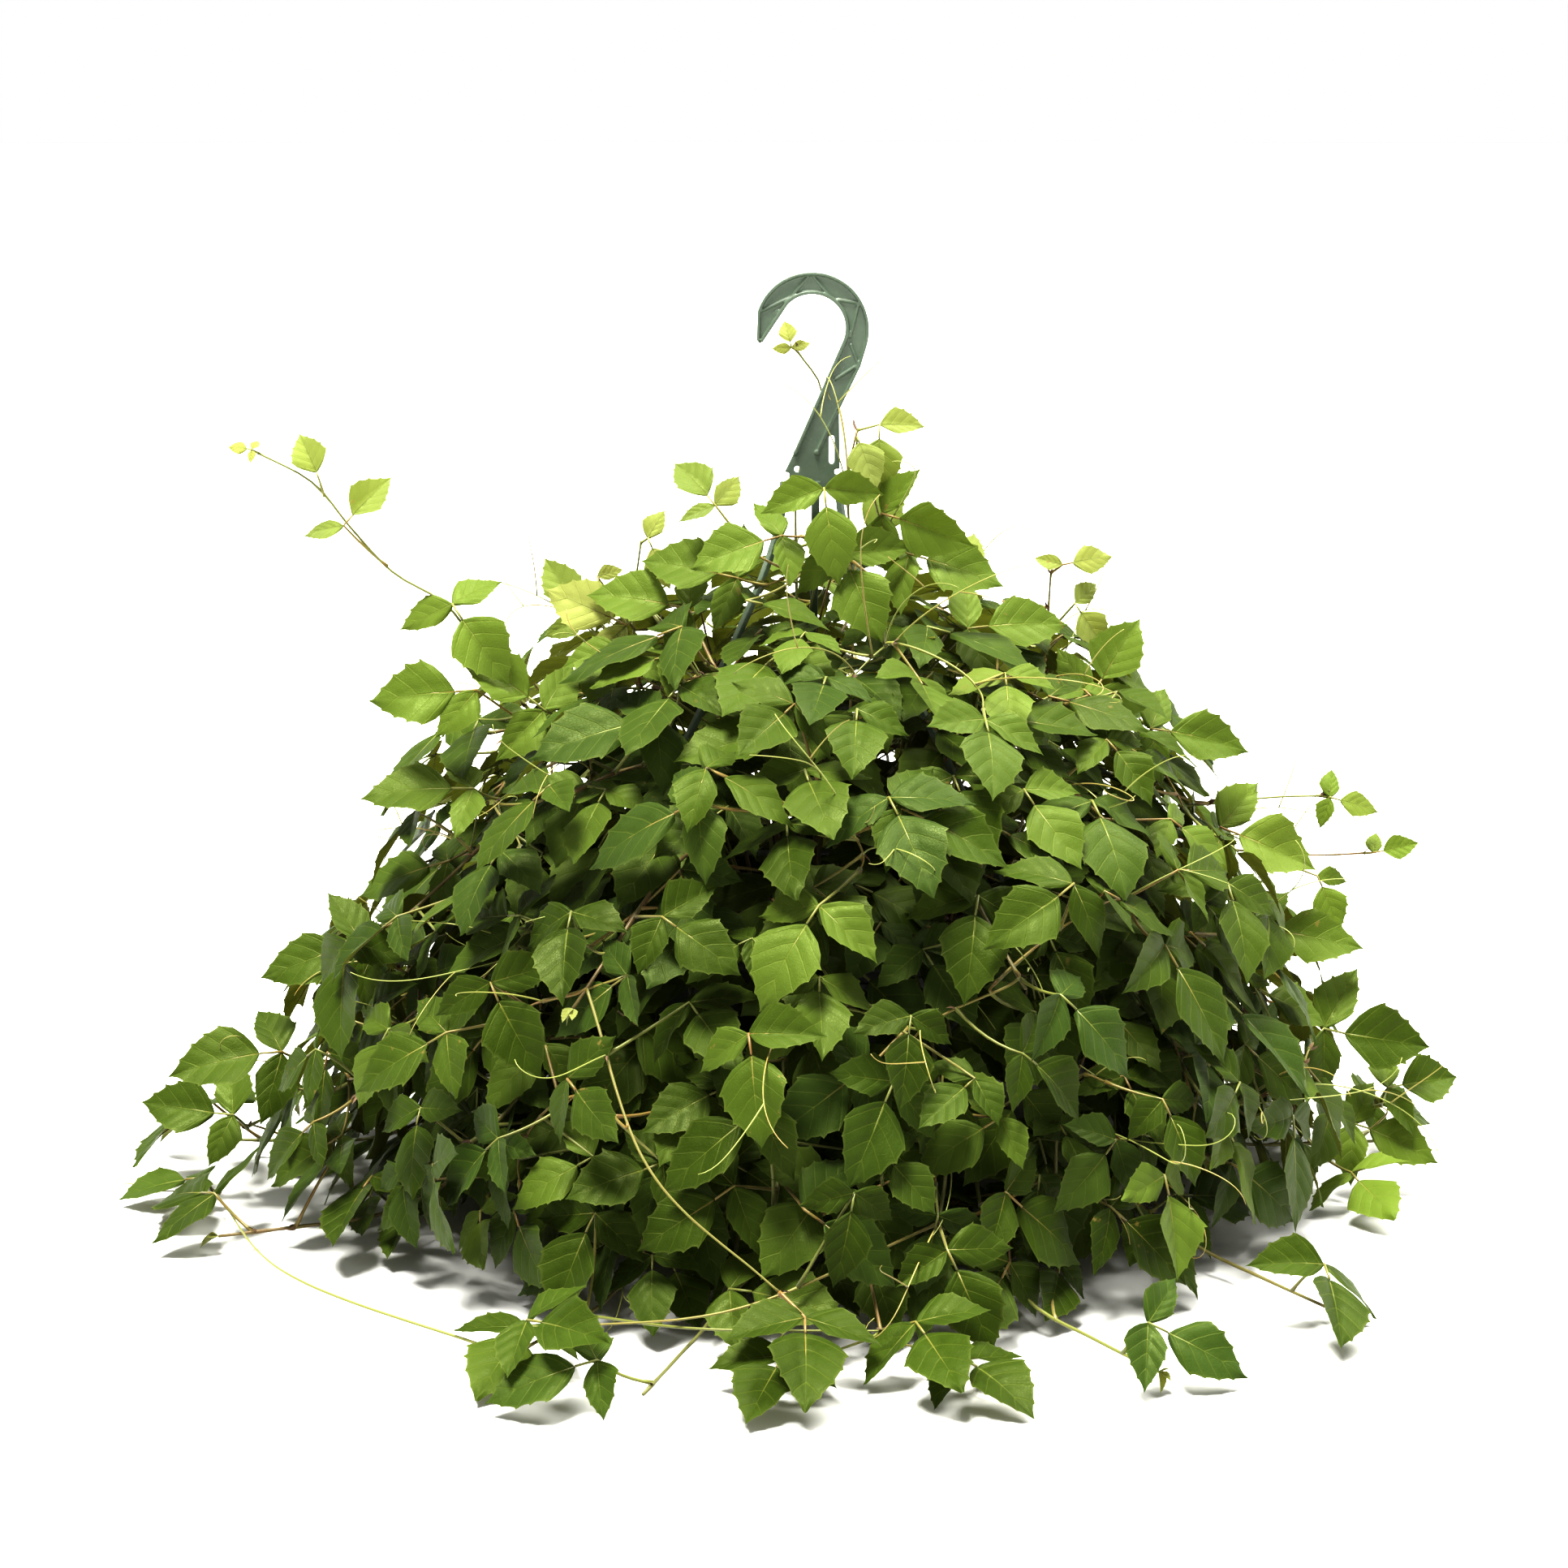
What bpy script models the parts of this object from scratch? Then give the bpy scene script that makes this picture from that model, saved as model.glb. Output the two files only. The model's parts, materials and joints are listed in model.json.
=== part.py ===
"""A trailing vine in a hanging pot, stood on a flat surface with its hook hanger clipped to the rim.

Metres, +Z up, seen from -Y. The origin is the centre of the pot's underside.
"""

import math
import random

import bmesh
import bpy
import numpy as np
from mathutils.bvhtree import BVHTree

MM = 0.001
UP = np.array([0.0, 0.0, 1.0])
GAP = 0.00035

# Pot
POT_HEIGHT = 0.161
POT_BASE_RADIUS = 0.087
POT_NECK_RADIUS = 0.1185
POT_RIM_RADIUS = 0.130
POT_WALL = 0.0025
FLANGE_DROP = 0.003
LIP_DROP = 0.007
POT_SIDES = 28
SLOT_SIZE = (0.0040, 0.0053)
DRAIN_RADIUS = 0.0019
DRAIN_RING = 0.062
DRAIN_COUNT = 6
UNDERSIDE_HUB = (0.0282, 0.0101)

# Soil
SOIL_TOP = 0.146
SOIL_SIDES = 20
HOLE_SIDES = 4
ROOT_DEPTH = 0.022
HOLE_SPARE = 0.0013

# Hanger: the head lies in the X-Z plane, its sizes in millimetres from the hook's centre
HOOK_CENTRE_Z = 0.478
HOOK_OUTER = 30.6
HOOK_INNER = 18.3
HOOK_INNER_RISE = 0.9
WEB_THICK = 0.0020
LIP_THICK = 0.0054
LIP_WIDTH = 0.0015
BRACE_THICK = 0.0040
TAG_SLOT = (10.8, -64.4, 3.0, 15.6)
TIE_HOLE = (-7.9, -75.0, 1.7)
BRACES = (
    ((-27.5, 10.0), (-11.0, 17.6)), ((-11.0, 17.6), (-1.6, 29.0)), ((0.4, 29.0), (9.0, 18.6)),
    ((13.6, 16.2), (24.6, 14.4)), ((25.0, 13.6), (20.6, -4.2)), ((20.8, -7.4), (24.8, -17.8)),
    ((24.8, -18.8), (12.4, -26.6)), ((13.6, -43.0), (2.8, -66.0)),
)
HANGER_COUNTS = (12, 10, 11, 6)
LEG_STRAIGHT = 0.006
LEG_SECTION = (0.0030, 0.0044)
LEG_TOP_Z = 0.392
LEG_STARTS = (-0.0152, 0.0022, 0.0150)
LEG_AZIMUTHS = (210.0, 90.0, 330.0)
LEG_FOOT_RADIUS = 0.1245
BARB_SIZE = (0.0032, 0.0125, 0.0036)

# Leaves: outlines of a half blade as (share of length, share of half width), from tooth to tooth.
# The narrower half of a side blade takes the short one.
HALF_OUTLINE = ((0.37, 1.0), (0.50, 0.79), (0.69, 0.66))
SHORT_OUTLINE = ((0.40, 1.0), (0.69, 0.66))
CREST = 0.40
CREST_RISE = 0.02
BLADE_THICK = 0.0009
STALK_HALF = 0.0009
CLEARANCE = 0.0005
LATERAL_SIZE = 0.80
LATERAL_INNER = 0.70
SPREAD = (64.0, 84.0)
TRIES = 30
ROOM_ENOUGH = 0.06
LAYOUT_SEED = 5

# Dome that the leaves keep inside, as (height, reach) in metres
DOME = ((0.0, 0.395), (0.06, 0.385), (0.09, 0.33), (0.12, 0.298), (0.18, 0.270), (0.25, 0.235),
        (0.30, 0.185), (0.335, 0.12), (0.365, 0.05), (0.38, 0.0))

# Stem families: name, azimuths, root radius, profile of (reach, height), leaf places
FAMILIES = (
    ("crown", (20, 92, 164, 236, 308), 0.022, ((0.030, 0.22), (0.062, 0.282), (0.094, 0.314)), (0.7, 1.0)),
    ("upper", (47, 107, 167, 227, 274, 334), 0.044, ((0.062, 0.21), (0.115, 0.265), (0.180, 0.248)),
     (0.66, 1.0)),
    ("middle", (8, 68, 128, 188, 246, 300), 0.064, ((0.088, 0.195), (0.158, 0.225), (0.238, 0.162)),
     (0.52, 0.78, 1.0)),
    ("lower", (33, 84, 135, 196, 224, 258, 290, 346), 0.084,
     ((0.108, 0.186), (0.160, 0.175), (0.218, 0.10), (0.265, 0.062)), (0.68, 1.0)),
    ("floor", (6, 50, 100, 150, 176, 208, 250, 268, 288, 322), 0.098,
     ((0.122, 0.178), (0.152, 0.145), (0.182, 0.07), (0.240, 0.020), (0.345, 0.010)), (0.74, 1.0)),
)
STEM_RADII = (0.0017, 0.0010)
PATH_SPARE = 4
SPRIG_POINTS = 13
FLOOR_BAND = 0.06
LAST_SHARE = 0.97
LEAF_SIZE = (0.047, 0.063)

# Leaves that close the widest gaps low down, once each stem has its own
OUTER_FAMILIES = ("middle", "lower", "floor")
EXTRA_LEAVES = 4
EXTRA_SHARES = (0.42, 0.85)

# Sprigs that stand out from the dome, in millimetres: name, root, path, then leaves as
# (share of the path, junction x, y, z, tip's angle in the X-Z plane, blade length, leaflets, spread)
SPRIGS = (
    ("sprig_far_left", (-34, -12), ((-60, -26, 215), (-132, -38, 257), (-181, -40, 313), (-195, -40, 334),
                                    (-236, -40, 361), (-256, -40, 393), (-294, -40, 416)),
     ((0.60, -192, -46, 336, -62, 47, 3, 102), (0.78, -249, -45, 378, 58, 33, 2, 128),
      (0.90, -262, -44, 404, 110, 27, 1, 0), (1.0, -297, -42, 418, 165, 11, 3, 100),
      (0.34, -178, -66, 293, 186, 50, 2, 46))),
    ("sprig_hanger", (16, -36), ((20, -36, 250), (22, -31, 330), (19, -30, 400), (24, -30, 427)),
     ((0.88, 24, -36, 424, -76, 31, 1, 0), (1.0, 36, -29, 430, -92, 38, 2, 100))),
    ("sprig_pale", (-4, 30), ((-6, 26, 260), (-8, 17, 390), (5, 16, 436), (2, 16, 456), (-8, 12, 466)),
     ((1.0, -11, 8, 468, 100, 15, 3, 80),)),
    ("sprig_top_left", (-36, 22), ((-70, 30, 250), (-97, 24, 300), (-97, 22, 337), (-94, 20, 360)),
     ((1.0, -90, 17, 363, -68, 26, 2, 130), (0.80, -118, 14, 342, -80, 24, 2, 95))),
    ("sprig_top_right", (44, 14), ((90, 10, 235), (124, 4, 279), (130, 1, 326), (131, 0, 346)),
     ((0.86, 144, -5, 330, -62, 26, 2, 100), (1.0, 137, -3, 351, 12, 27, 2, 150))),
    ("sprig_right", (70, -6), ((150, 0, 222), (201, 12, 213), (256, 20, 216), (286, 20, 217)),
     ((1.0, 291, 16, 217, -18, 26, 3, 96),)),
    ("sprig_far_right", (80, 10), ((160, 18, 205), (220, 24, 188), (275, 24, 182), (312, 20, 184)),
     ((1.0, 317, 17, 185, 12, 24, 2, 70), (0.80, 285, 15, 172, -70, 30, 2, 62))),
)


def unit(v):
    v = np.asarray(v, float)
    return v / np.linalg.norm(v)


def polar(radius, azimuth, z):
    return np.array([radius * math.cos(azimuth), radius * math.sin(azimuth), z])


def turn(v, axis, angle):
    """v turned about a unit axis."""
    c, s = math.cos(angle), math.sin(angle)
    return v * c + np.cross(axis, v) * s + axis * np.dot(axis, v) * (1 - c)


def flatten(v, normal):
    """The part of v that lies square to the normal, at unit length."""
    return unit(v - normal * np.dot(v, normal))


def spline(points, count):
    """A smooth curve through the points, as count points at even distances."""
    p = [np.asarray(q, float) for q in points]
    p = [2 * p[0] - p[1]] + p + [2 * p[-1] - p[-2]]
    fine = []
    for a, b, c, d in zip(p, p[1:], p[2:], p[3:]):
        for t in np.linspace(0, 1, 12, endpoint=False):
            fine.append(0.5 * (2 * b + (c - a) * t + (2 * a - 5 * b + 4 * c - d) * t * t
                               + (3 * b - a - 3 * c + d) * t ** 3))
    fine = np.array(fine + [p[-2]])
    run = np.concatenate([[0], np.cumsum(np.linalg.norm(np.diff(fine, axis=0), axis=1))])
    even = np.linspace(0, run[-1], count)
    return np.stack([np.interp(even, run, fine[:, k]) for k in range(3)], axis=1)


def along_path(path, share):
    """The point at this share of the path's points, and the direction there."""
    at = share * (len(path) - 1)
    i = min(int(at), len(path) - 2)
    step = path[i + 1] - path[i]
    return path[i] + step * (at - i), unit(step)


def sweep(path, section, scales, side=None):
    """A closed tube: the section's (sideways, upwards) points carried along the path."""
    path = np.asarray(path, float)
    tangents = np.gradient(path, axis=0)
    tangents /= np.linalg.norm(tangents, axis=1)[:, None]
    across = np.asarray(side, float) if side is not None else np.cross(tangents[0], [0.31, 0.87, 0.38])
    verts = []
    for point, tangent, scale in zip(path, tangents, scales):
        across = flatten(across, tangent)
        lift = np.cross(tangent, across)
        verts += [point + scale * (a * across + b * lift) for a, b in section]
    n = len(section)
    faces = []
    for i in range(len(path) - 1):
        for k in range(n):
            a, b = i * n + k, i * n + (k + 1) % n
            faces += [(a, b, b + n), (a, b + n, a + n)]
    last = (len(path) - 1) * n
    for k in range(1, n - 1):
        faces += [(0, k + 1, k), (last, last + k, last + k + 1)]
    return np.array(verts), faces


def ring(sides):
    return [(math.cos(2 * math.pi * k / sides), math.sin(2 * math.pi * k / sides)) for k in range(sides)]


def tube(path, radii, grow=0.0, sides=3):
    return sweep(path, ring(sides), np.interp(np.linspace(0, 1, len(path)), [0, 1], radii) + grow)


def blade_point(leaf, u, v):
    """A point of the upper face: u runs from base to tip, v from -1 to 1 across the widest part."""
    base, along, normal, length, halves, droop, fold, wave = leaf
    across = np.cross(along, normal)
    half = halves[0] if v < 0 else halves[1]
    lift = fold * abs(v) * half - droop * u * u * length
    lift += wave * length * math.sin(7 * u + 2.2 * v) * abs(v)
    return base + along * (u * length) + across * (v * half) + normal * lift


def fan(blade):
    """The blade's crest and its outline from the right of its base round to the left."""
    crest = blade_point(blade, CREST, 0.0) + blade[2] * (CREST_RISE * blade[3])
    left_half, right_half = blade[4]

    def side(sign, half, other):
        rows = SHORT_OUTLINE if half < other else HALF_OUTLINE
        return [blade_point(blade, u, sign * v) for u, v in rows]

    left = side(-1, left_half, right_half)
    return crest, side(1, right_half, left_half) + [blade_point(blade, 1.0, 0.0)] + left[::-1]


def leaf_mesh(leaf, grow=0.0):
    """A whole leaf as one closed slab: stalk, end blade, then a left and a right blade if it has them."""
    start, junction, along, normal, blades = leaf
    end, left, right = blades
    across = np.cross(along, normal)
    wide = STALK_HALF + grow
    points, depths, triangles = [], [], []

    def add(point, depth):
        points.append(point)
        depths.append(depth)
        return len(points) - 1

    def web(blade, first, last):
        crest, outline = fan(blade)
        base = blade[0]
        depth = blade[2] * (BLADE_THICK / 2 + grow)
        middle = add(crest, depth)
        run = [add(p + unit(p - base) * grow, depth) for p in outline]
        chain = [first] + run + [last]
        triangles.extend((middle, a, b) for a, b in zip(chain, chain[1:] + chain[:1]))
        return run

    step = unit(junction - start)
    side = unit(np.cross(step, normal))
    deep = np.cross(side, step) * wide
    root_right, root_left = add(start + side * wide, deep), add(start - side * wide, deep)
    back_left, front_left, front_right, back_right = (
        add(junction + (across * x + along * y) * wide, normal * wide)
        for x, y in ((-1, -1), (-1, 1), (1, 1), (1, -1)))
    neck = [add(end[0] + across * x * wide, normal * wide) for x in (1, -1)]
    loop = [root_right, back_right]
    if right:
        loop += web(right, back_right, front_right)
    loop += [front_right, neck[0]] + web(end, neck[0], neck[1]) + [neck[1], front_left]
    if left:
        loop += web(left, front_left, back_left)
    loop += [back_left, root_left]
    triangles += [(root_left, root_right, back_right), (root_left, back_right, back_left),
                  (back_left, back_right, front_right), (back_left, front_right, front_left),
                  (front_left, front_right, neck[0]), (front_left, neck[0], neck[1])]
    n = len(points)
    verts = [p + d for p, d in zip(points, depths)] + [p - d for p, d in zip(points, depths)]
    faces = list(triangles) + [(a + n, c + n, b + n) for a, b, c in triangles]
    for a, b in zip(loop, loop[1:] + loop[:1]):
        faces += [(a + n, b + n, b), (a + n, b, a)]
    return np.array(verts), faces


def blades_meet(blades):
    """True if two blades of one leaf would run into each other."""
    trees = []
    for blade in filter(None, blades):
        crest, outline = fan(blade)
        ring_points = [crest] + outline
        n = len(ring_points)
        verts = [p + blade[2] * d for d in (-CLEARANCE, CLEARANCE) for p in ring_points]
        faces = [(m, m + k, m + k + 1) for m in (0, n) for k in range(1, n - 1)]
        trees.append(BVHTree.FromPolygons([tuple(v) for v in verts], faces))
    return any(a.overlap(b) for i, a in enumerate(trees) for b in trees[i + 1:])


def compound(start, junction, along, normal, size, rng, leaflets=3, spread=None):
    """A leaf of one to three leaflets as its stalk's two ends, its frame and its blades."""
    neck = junction + along * ((0.24 if leaflets > 1 else 0.10) * size)

    def shape():
        return rng.uniform(0.06, 0.24), rng.uniform(0.10, 0.42), rng.uniform(0.01, 0.045)

    half = size * rng.uniform(0.38, 0.47)
    ahead = turn(along, normal, rng.uniform(-0.1, 0.1))
    blades = [(neck, ahead, normal, size, (half, half), *shape()), None, None]
    for k in range(1, leaflets):
        sign = 1 if k == 1 else -1
        aim = turn(along, normal, sign * math.radians(spread or rng.uniform(*SPREAD)))
        facing = unit(normal + np.cross(aim, normal) * rng.uniform(-0.3, 0.3) + aim * rng.uniform(-0.1, 0.3))
        long = size * LATERAL_SIZE * rng.uniform(0.88, 1.08)
        wide = long * rng.uniform(0.38, 0.44)
        inner = wide * LATERAL_INNER
        halves = (wide, inner) if sign > 0 else (inner, wide)
        blades[k] = (junction, flatten(aim, facing), facing, long, halves, *shape())
    return start, junction, along, normal, blades


def joined(meshes):
    verts, faces, base = [], [], 0
    for points, triangles in meshes:
        verts.append(points)
        faces += [tuple(base + k for k in triangle) for triangle in triangles]
        base += len(points)
    return np.concatenate(verts), faces


class Obstacles:
    """Shapes already placed, with a quick box test before the exact one."""

    def __init__(self):
        self.lows, self.highs, self.trees, self.owners = [], [], [], []

    def add(self, mesh, owner):
        points, faces = mesh
        self.lows.append(points.min(axis=0))
        self.highs.append(points.max(axis=0))
        self.trees.append(BVHTree.FromPolygons(points.tolist(), faces))
        self.owners.append(owner)

    def hit(self, mesh, skip=None):
        points, faces = mesh
        low, high = points.min(axis=0), points.max(axis=0)
        near = np.all((np.array(self.lows) <= high) & (np.array(self.highs) >= low), axis=1)
        tree = None
        for i in np.flatnonzero(near):
            if self.owners[i] == skip:
                continue
            tree = tree or BVHTree.FromPolygons(points.tolist(), faces)
            if tree.overlap(self.trees[i]):
                return True
        return False


def in_dome(points):
    reach = np.interp(points[:, 2], [z for z, _ in DOME], [r for _, r in DOME])
    return bool(np.all(np.hypot(points[:, 0], points[:, 1]) < reach))


def off_pot(points):
    """True if no point is under the floor or within the pot's outside."""
    reach = np.hypot(points[:, 0], points[:, 1])
    wall = np.interp(points[:, 2], [0, POT_HEIGHT], [POT_BASE_RADIUS, POT_RIM_RADIUS]) + 0.004
    low = points[:, 2] < POT_HEIGHT + 0.002
    return bool(points[:, 2].min() > 0.0008 and not np.any(low & (reach < wall)))


def outward(point):
    """The dome's outward direction at a point."""
    x, y, z = point
    return unit([x / 0.30 ** 2, y / 0.30 ** 2, max(z - 0.05, 0.0) / 0.31 ** 2])


def lay_stems(rng, obstacles):
    """Each family's stems as (name, path), moved round until they clear what is placed."""
    stems = []
    for name, root, way, _ in SPRIGS:
        points = [np.array(p) * MM for p in way]
        foot = np.array([root[0] * MM, root[1] * MM, SOIL_TOP])
        rise = [foot - UP * ROOT_DEPTH, foot + UP * 0.004, foot + UP * 0.012]
        stems.append((name, np.array(rise[:1] + list(spline(rise[1:] + points, SPRIG_POINTS)))))
        obstacles.add(tube(stems[-1][1], STEM_RADII), name)
    for name, azimuths, root, profile, _ in FAMILIES:
        for k, middle in enumerate(azimuths):
            for attempt in range(TRIES):
                azimuth = math.radians(middle + rng.uniform(-6, 6) * (1 + attempt / 6))
                drift = rng.uniform(-0.16, 0.16)
                scale = rng.uniform(0.94, 1.05)
                foot = polar(root + rng.uniform(-0.005, 0.004), azimuth, SOIL_TOP)
                rise = [foot - UP * ROOT_DEPTH, foot + UP * 0.003, foot + UP * 0.010]
                points = []
                for i, (reach, height) in enumerate(profile):
                    share = (i + 1) / len(profile)
                    wander = drift * share + rng.uniform(-0.05, 0.05)
                    high = height if height < 0.03 else height * rng.uniform(0.95, 1.05)
                    points.append(polar(reach * scale, azimuth + wander, high))
                path = np.array(rise[:1] + list(spline(rise[1:] + points, len(profile) + PATH_SPARE)))
                if not obstacles.hit(tube(path, STEM_RADII, 0.0016)):
                    break
            else:
                continue
            stems.append((f"{name}_{k + 1}", path))
            obstacles.add(tube(path, STEM_RADII), f"{name}_{k + 1}")
    return stems


def leaf_on(path, share, side, rng):
    """A compound leaf from this place on a stem, its blades hanging down the dome's outside."""
    start, heading = along_path(path, share)
    low = max(0.0, 1.0 - start[2] / FLOOR_BAND)
    last = share > LAST_SHARE
    out = outward(start)
    level = unit(np.cross(UP, out))
    face = unit(out + UP * low * rng.uniform(0.5, 2.0))
    ahead = heading * (1.3 if last else 0.2)
    stalk = unit(face * rng.uniform(0.5, 1.0) + ahead + UP * rng.uniform(0.0, 0.5)
                 + level * side * rng.uniform(0.1, 0.4 if last else 0.9))
    junction = start + stalk * rng.uniform(0.016, 0.042)
    normal = unit(face + UP * rng.uniform(0.0, 0.55) + level * rng.uniform(-0.45, 0.45))
    downhill = flatten(out * (0.35 + low) - UP * (1.0 - 0.8 * low) + ahead * 0.5, normal)
    along = turn(downhill, normal, side * math.radians(rng.uniform(5, 40 if last else 80)))
    return compound(start, junction, along, normal, rng.uniform(*LEAF_SIZE), rng)


def fits(leaf, owner, obstacles, free=False):
    mesh = leaf_mesh(leaf, CLEARANCE)
    points = mesh[0]
    return (off_pot(points) and (free or in_dome(points)) and not blades_meet(leaf[4])
            and not obstacles.hit(mesh, owner))


def sprig_leaf(path, row, attempt, rng):
    """One attempt at a sprig's leaf, its blade turned a little further with each."""
    share, x, y, z, angle, long, leaflets, spread = row
    start, _ = along_path(path, share)
    lean = 0.10 + 0.03 * attempt
    normal = unit([rng.uniform(-lean, lean), -0.85, 0.5 + rng.uniform(-lean, lean)])
    along = np.array([math.cos(math.radians(angle)), 0.0, math.sin(math.radians(angle))])
    return compound(start, np.array([x, y, z]) * MM, flatten(along, normal), normal, long * MM, rng,
                    leaflets, spread)


def lay_leaves(stems, rng, obstacles):
    """The leaves of every stem, as a dictionary from its name.

    Of the tries that fit, the one that lies furthest from the other blades is kept.
    """
    leaves = {name: [] for name, _ in stems}
    centres = []
    paths = dict(stems)

    def keep(name, leaf):
        leaves[name].append(leaf)
        obstacles.add(leaf_mesh(leaf), "leaf")
        centres.extend(blade_point(blade, 0.5, 0.0) for blade in filter(None, leaf[4]))

    def room(leaf):
        """How far the leaf's blades lie from those already placed."""
        placed = np.array(centres)
        return sum(min(ROOM_ENOUGH, np.linalg.norm(placed - blade_point(blade, 0.5, 0.0), axis=1).min())
                   for blade in leaf[4])

    for name, _, _, rows in SPRIGS:
        for row in rows:
            for attempt in range(TRIES):
                leaf = sprig_leaf(paths[name], row, attempt, rng)
                if fits(leaf, name, obstacles, free=True):
                    keep(name, leaf)
                    break
    for name, _, _, _, places in FAMILIES:
        members = [stem for stem in stems if stem[0].rsplit("_", 1)[0] == name]
        for order, share in enumerate(places):
            for k, (stem, path) in enumerate(members):
                side = 1 if (order + k) % 2 else -1
                tries = [leaf_on(path, min(1.0, share + rng.uniform(-0.06, 0.03)), side, rng)
                         for _ in range(TRIES)]
                tries = [leaf for leaf in tries if fits(leaf, stem, obstacles)]
                if tries:
                    keep(stem, max(tries, key=room))
    outer = [stem for stem in stems if stem[0].split("_")[0] in OUTER_FAMILIES]
    for _ in range(EXTRA_LEAVES):
        tries = []
        for _ in range(2 * TRIES):
            stem, path = rng.choice(outer)
            leaf = leaf_on(path, rng.uniform(*EXTRA_SHARES), rng.choice((-1, 1)), rng)
            if fits(leaf, stem, obstacles):
                tries.append((stem, leaf))
        if tries:
            keep(*max(tries, key=lambda pair: room(pair[1])))
    return leaves


def new_object(name, mesh_data, collection=None):
    points, faces = mesh_data
    mesh = bpy.data.meshes.new(name)
    mesh.from_pydata([tuple(p) for p in points], [], [tuple(f) for f in faces])
    bm = bmesh.new()
    bm.from_mesh(mesh)
    bmesh.ops.recalc_face_normals(bm, faces=bm.faces)
    bm.to_mesh(mesh)
    bm.free()
    obj = bpy.data.objects.new(name, mesh)
    (collection or bpy.context.scene.collection).objects.link(obj)
    return obj


def boolean(target, pieces, operation, solver="MANIFOLD"):
    """Joins the pieces to the target or cuts them from it, then removes them."""
    helpers = bpy.data.collections.new("helpers")
    bpy.context.scene.collection.children.link(helpers)
    for k, piece in enumerate(pieces):
        new_object(f"helper_{k}", piece, helpers)
    modifier = target.modifiers.new("boolean", "BOOLEAN")
    modifier.operation = operation
    modifier.solver = solver
    modifier.operand_type = "COLLECTION"
    modifier.collection = helpers
    bpy.context.view_layer.update()
    graph = bpy.context.evaluated_depsgraph_get()
    result = bpy.data.meshes.new_from_object(target.evaluated_get(graph))
    target.modifiers.clear()
    old = target.data
    target.data = result
    result.name = target.name
    bpy.data.meshes.remove(old)
    for helper in list(helpers.objects):
        mesh = helper.data
        bpy.data.objects.remove(helper)
        bpy.data.meshes.remove(mesh)
    bpy.data.collections.remove(helpers)


def keep_largest(obj):
    """Drops every loose scrap but the largest body."""
    bm = bmesh.new()
    bm.from_mesh(obj.data)
    seen, bodies = set(), []
    for vert in bm.verts:
        if vert in seen:
            continue
        body, queue = [], [vert]
        seen.add(vert)
        while queue:
            here = queue.pop()
            body.append(here)
            for edge in here.link_edges:
                other = edge.other_vert(here)
                if other not in seen:
                    seen.add(other)
                    queue.append(other)
        bodies.append(body)
    bodies.sort(key=len)
    scraps = [vert for body in bodies[:-1] for vert in body]
    bmesh.ops.delete(bm, geom=scraps, context="VERTS")
    bm.to_mesh(obj.data)
    bm.free()


def material(name, colour, roughness):
    mat = bpy.data.materials.new(name)
    mat.use_nodes = True
    shader = mat.node_tree.nodes["Principled BSDF"]
    shader.inputs["Base Color"].default_value = (*colour, 1.0)
    shader.inputs["Roughness"].default_value = roughness
    return mat


def lathe(profile, sides, hub=(0.0, 0.0)):
    """A body of revolution from an open profile that starts and ends on the axis.

    The faces of its flat underside meet at the hub.
    """
    middle = profile[1:-1]
    verts = [(*hub, profile[0][1])]
    for radius, z in middle:
        verts += [polar(radius, 2 * math.pi * k / sides, z) for k in range(sides)]
    verts.append((0.0, 0.0, profile[-1][1]))
    faces = []
    for i in range(len(middle) - 1):
        for k in range(sides):
            a, b = 1 + i * sides + k, 1 + i * sides + (k + 1) % sides
            faces.append((a, b, b + sides, a + sides))
    top, end = 1 + (len(middle) - 1) * sides, len(verts) - 1
    for k in range(sides):
        faces += [(0, 1 + (k + 1) % sides, 1 + k), (end, top + k, top + (k + 1) % sides)]
    return np.array(verts, float), faces


def box(centre, sizes, azimuth=0.0):
    """A box with its first side along the azimuth."""
    out, side = polar(1.0, azimuth, 0.0), polar(1.0, azimuth + math.pi / 2, 0.0)
    a, b, c = (s / 2 for s in sizes)
    section = [(-a, -c), (a, -c), (a, c), (-a, c)]
    path = [centre - side * b, centre + side * b]
    return sweep(path, section, (1, 1), side=out)


def prism(outline, thickness):
    """An X-Z outline given depth along Y, even about the X-Z plane."""
    n = len(outline)
    verts = [(x, y, z) for y in (-thickness / 2, thickness / 2) for x, z in outline]
    faces = [tuple(range(n)), tuple(reversed(range(n, 2 * n)))]
    faces += [(k, n + k, n + (k + 1) % n, (k + 1) % n) for k in range(n)]
    return np.array(verts), faces


def pot_body(sides):
    """The pot turned from its profile, before its slots and drain holes.

    The hub is off centre, so that the origin lies inside one face of the underside.
    """
    neck, rim, top = POT_NECK_RADIUS, POT_RIM_RADIUS, POT_HEIGHT
    profile = [
        (0, 0), (POT_BASE_RADIUS - 0.002, 0), (POT_BASE_RADIUS, 0.002), (neck, top - FLANGE_DROP),
        (rim - 0.002, top - FLANGE_DROP), (rim - 0.0015, top - LIP_DROP), (rim + 0.0005, top - LIP_DROP),
        (rim + 0.0005, top - 0.001), (rim - 0.0005, top), (neck - POT_WALL, top),
        (POT_BASE_RADIUS - POT_WALL, POT_WALL), (0, POT_WALL),
    ]
    return lathe(profile, sides, UNDERSIDE_HUB)


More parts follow.
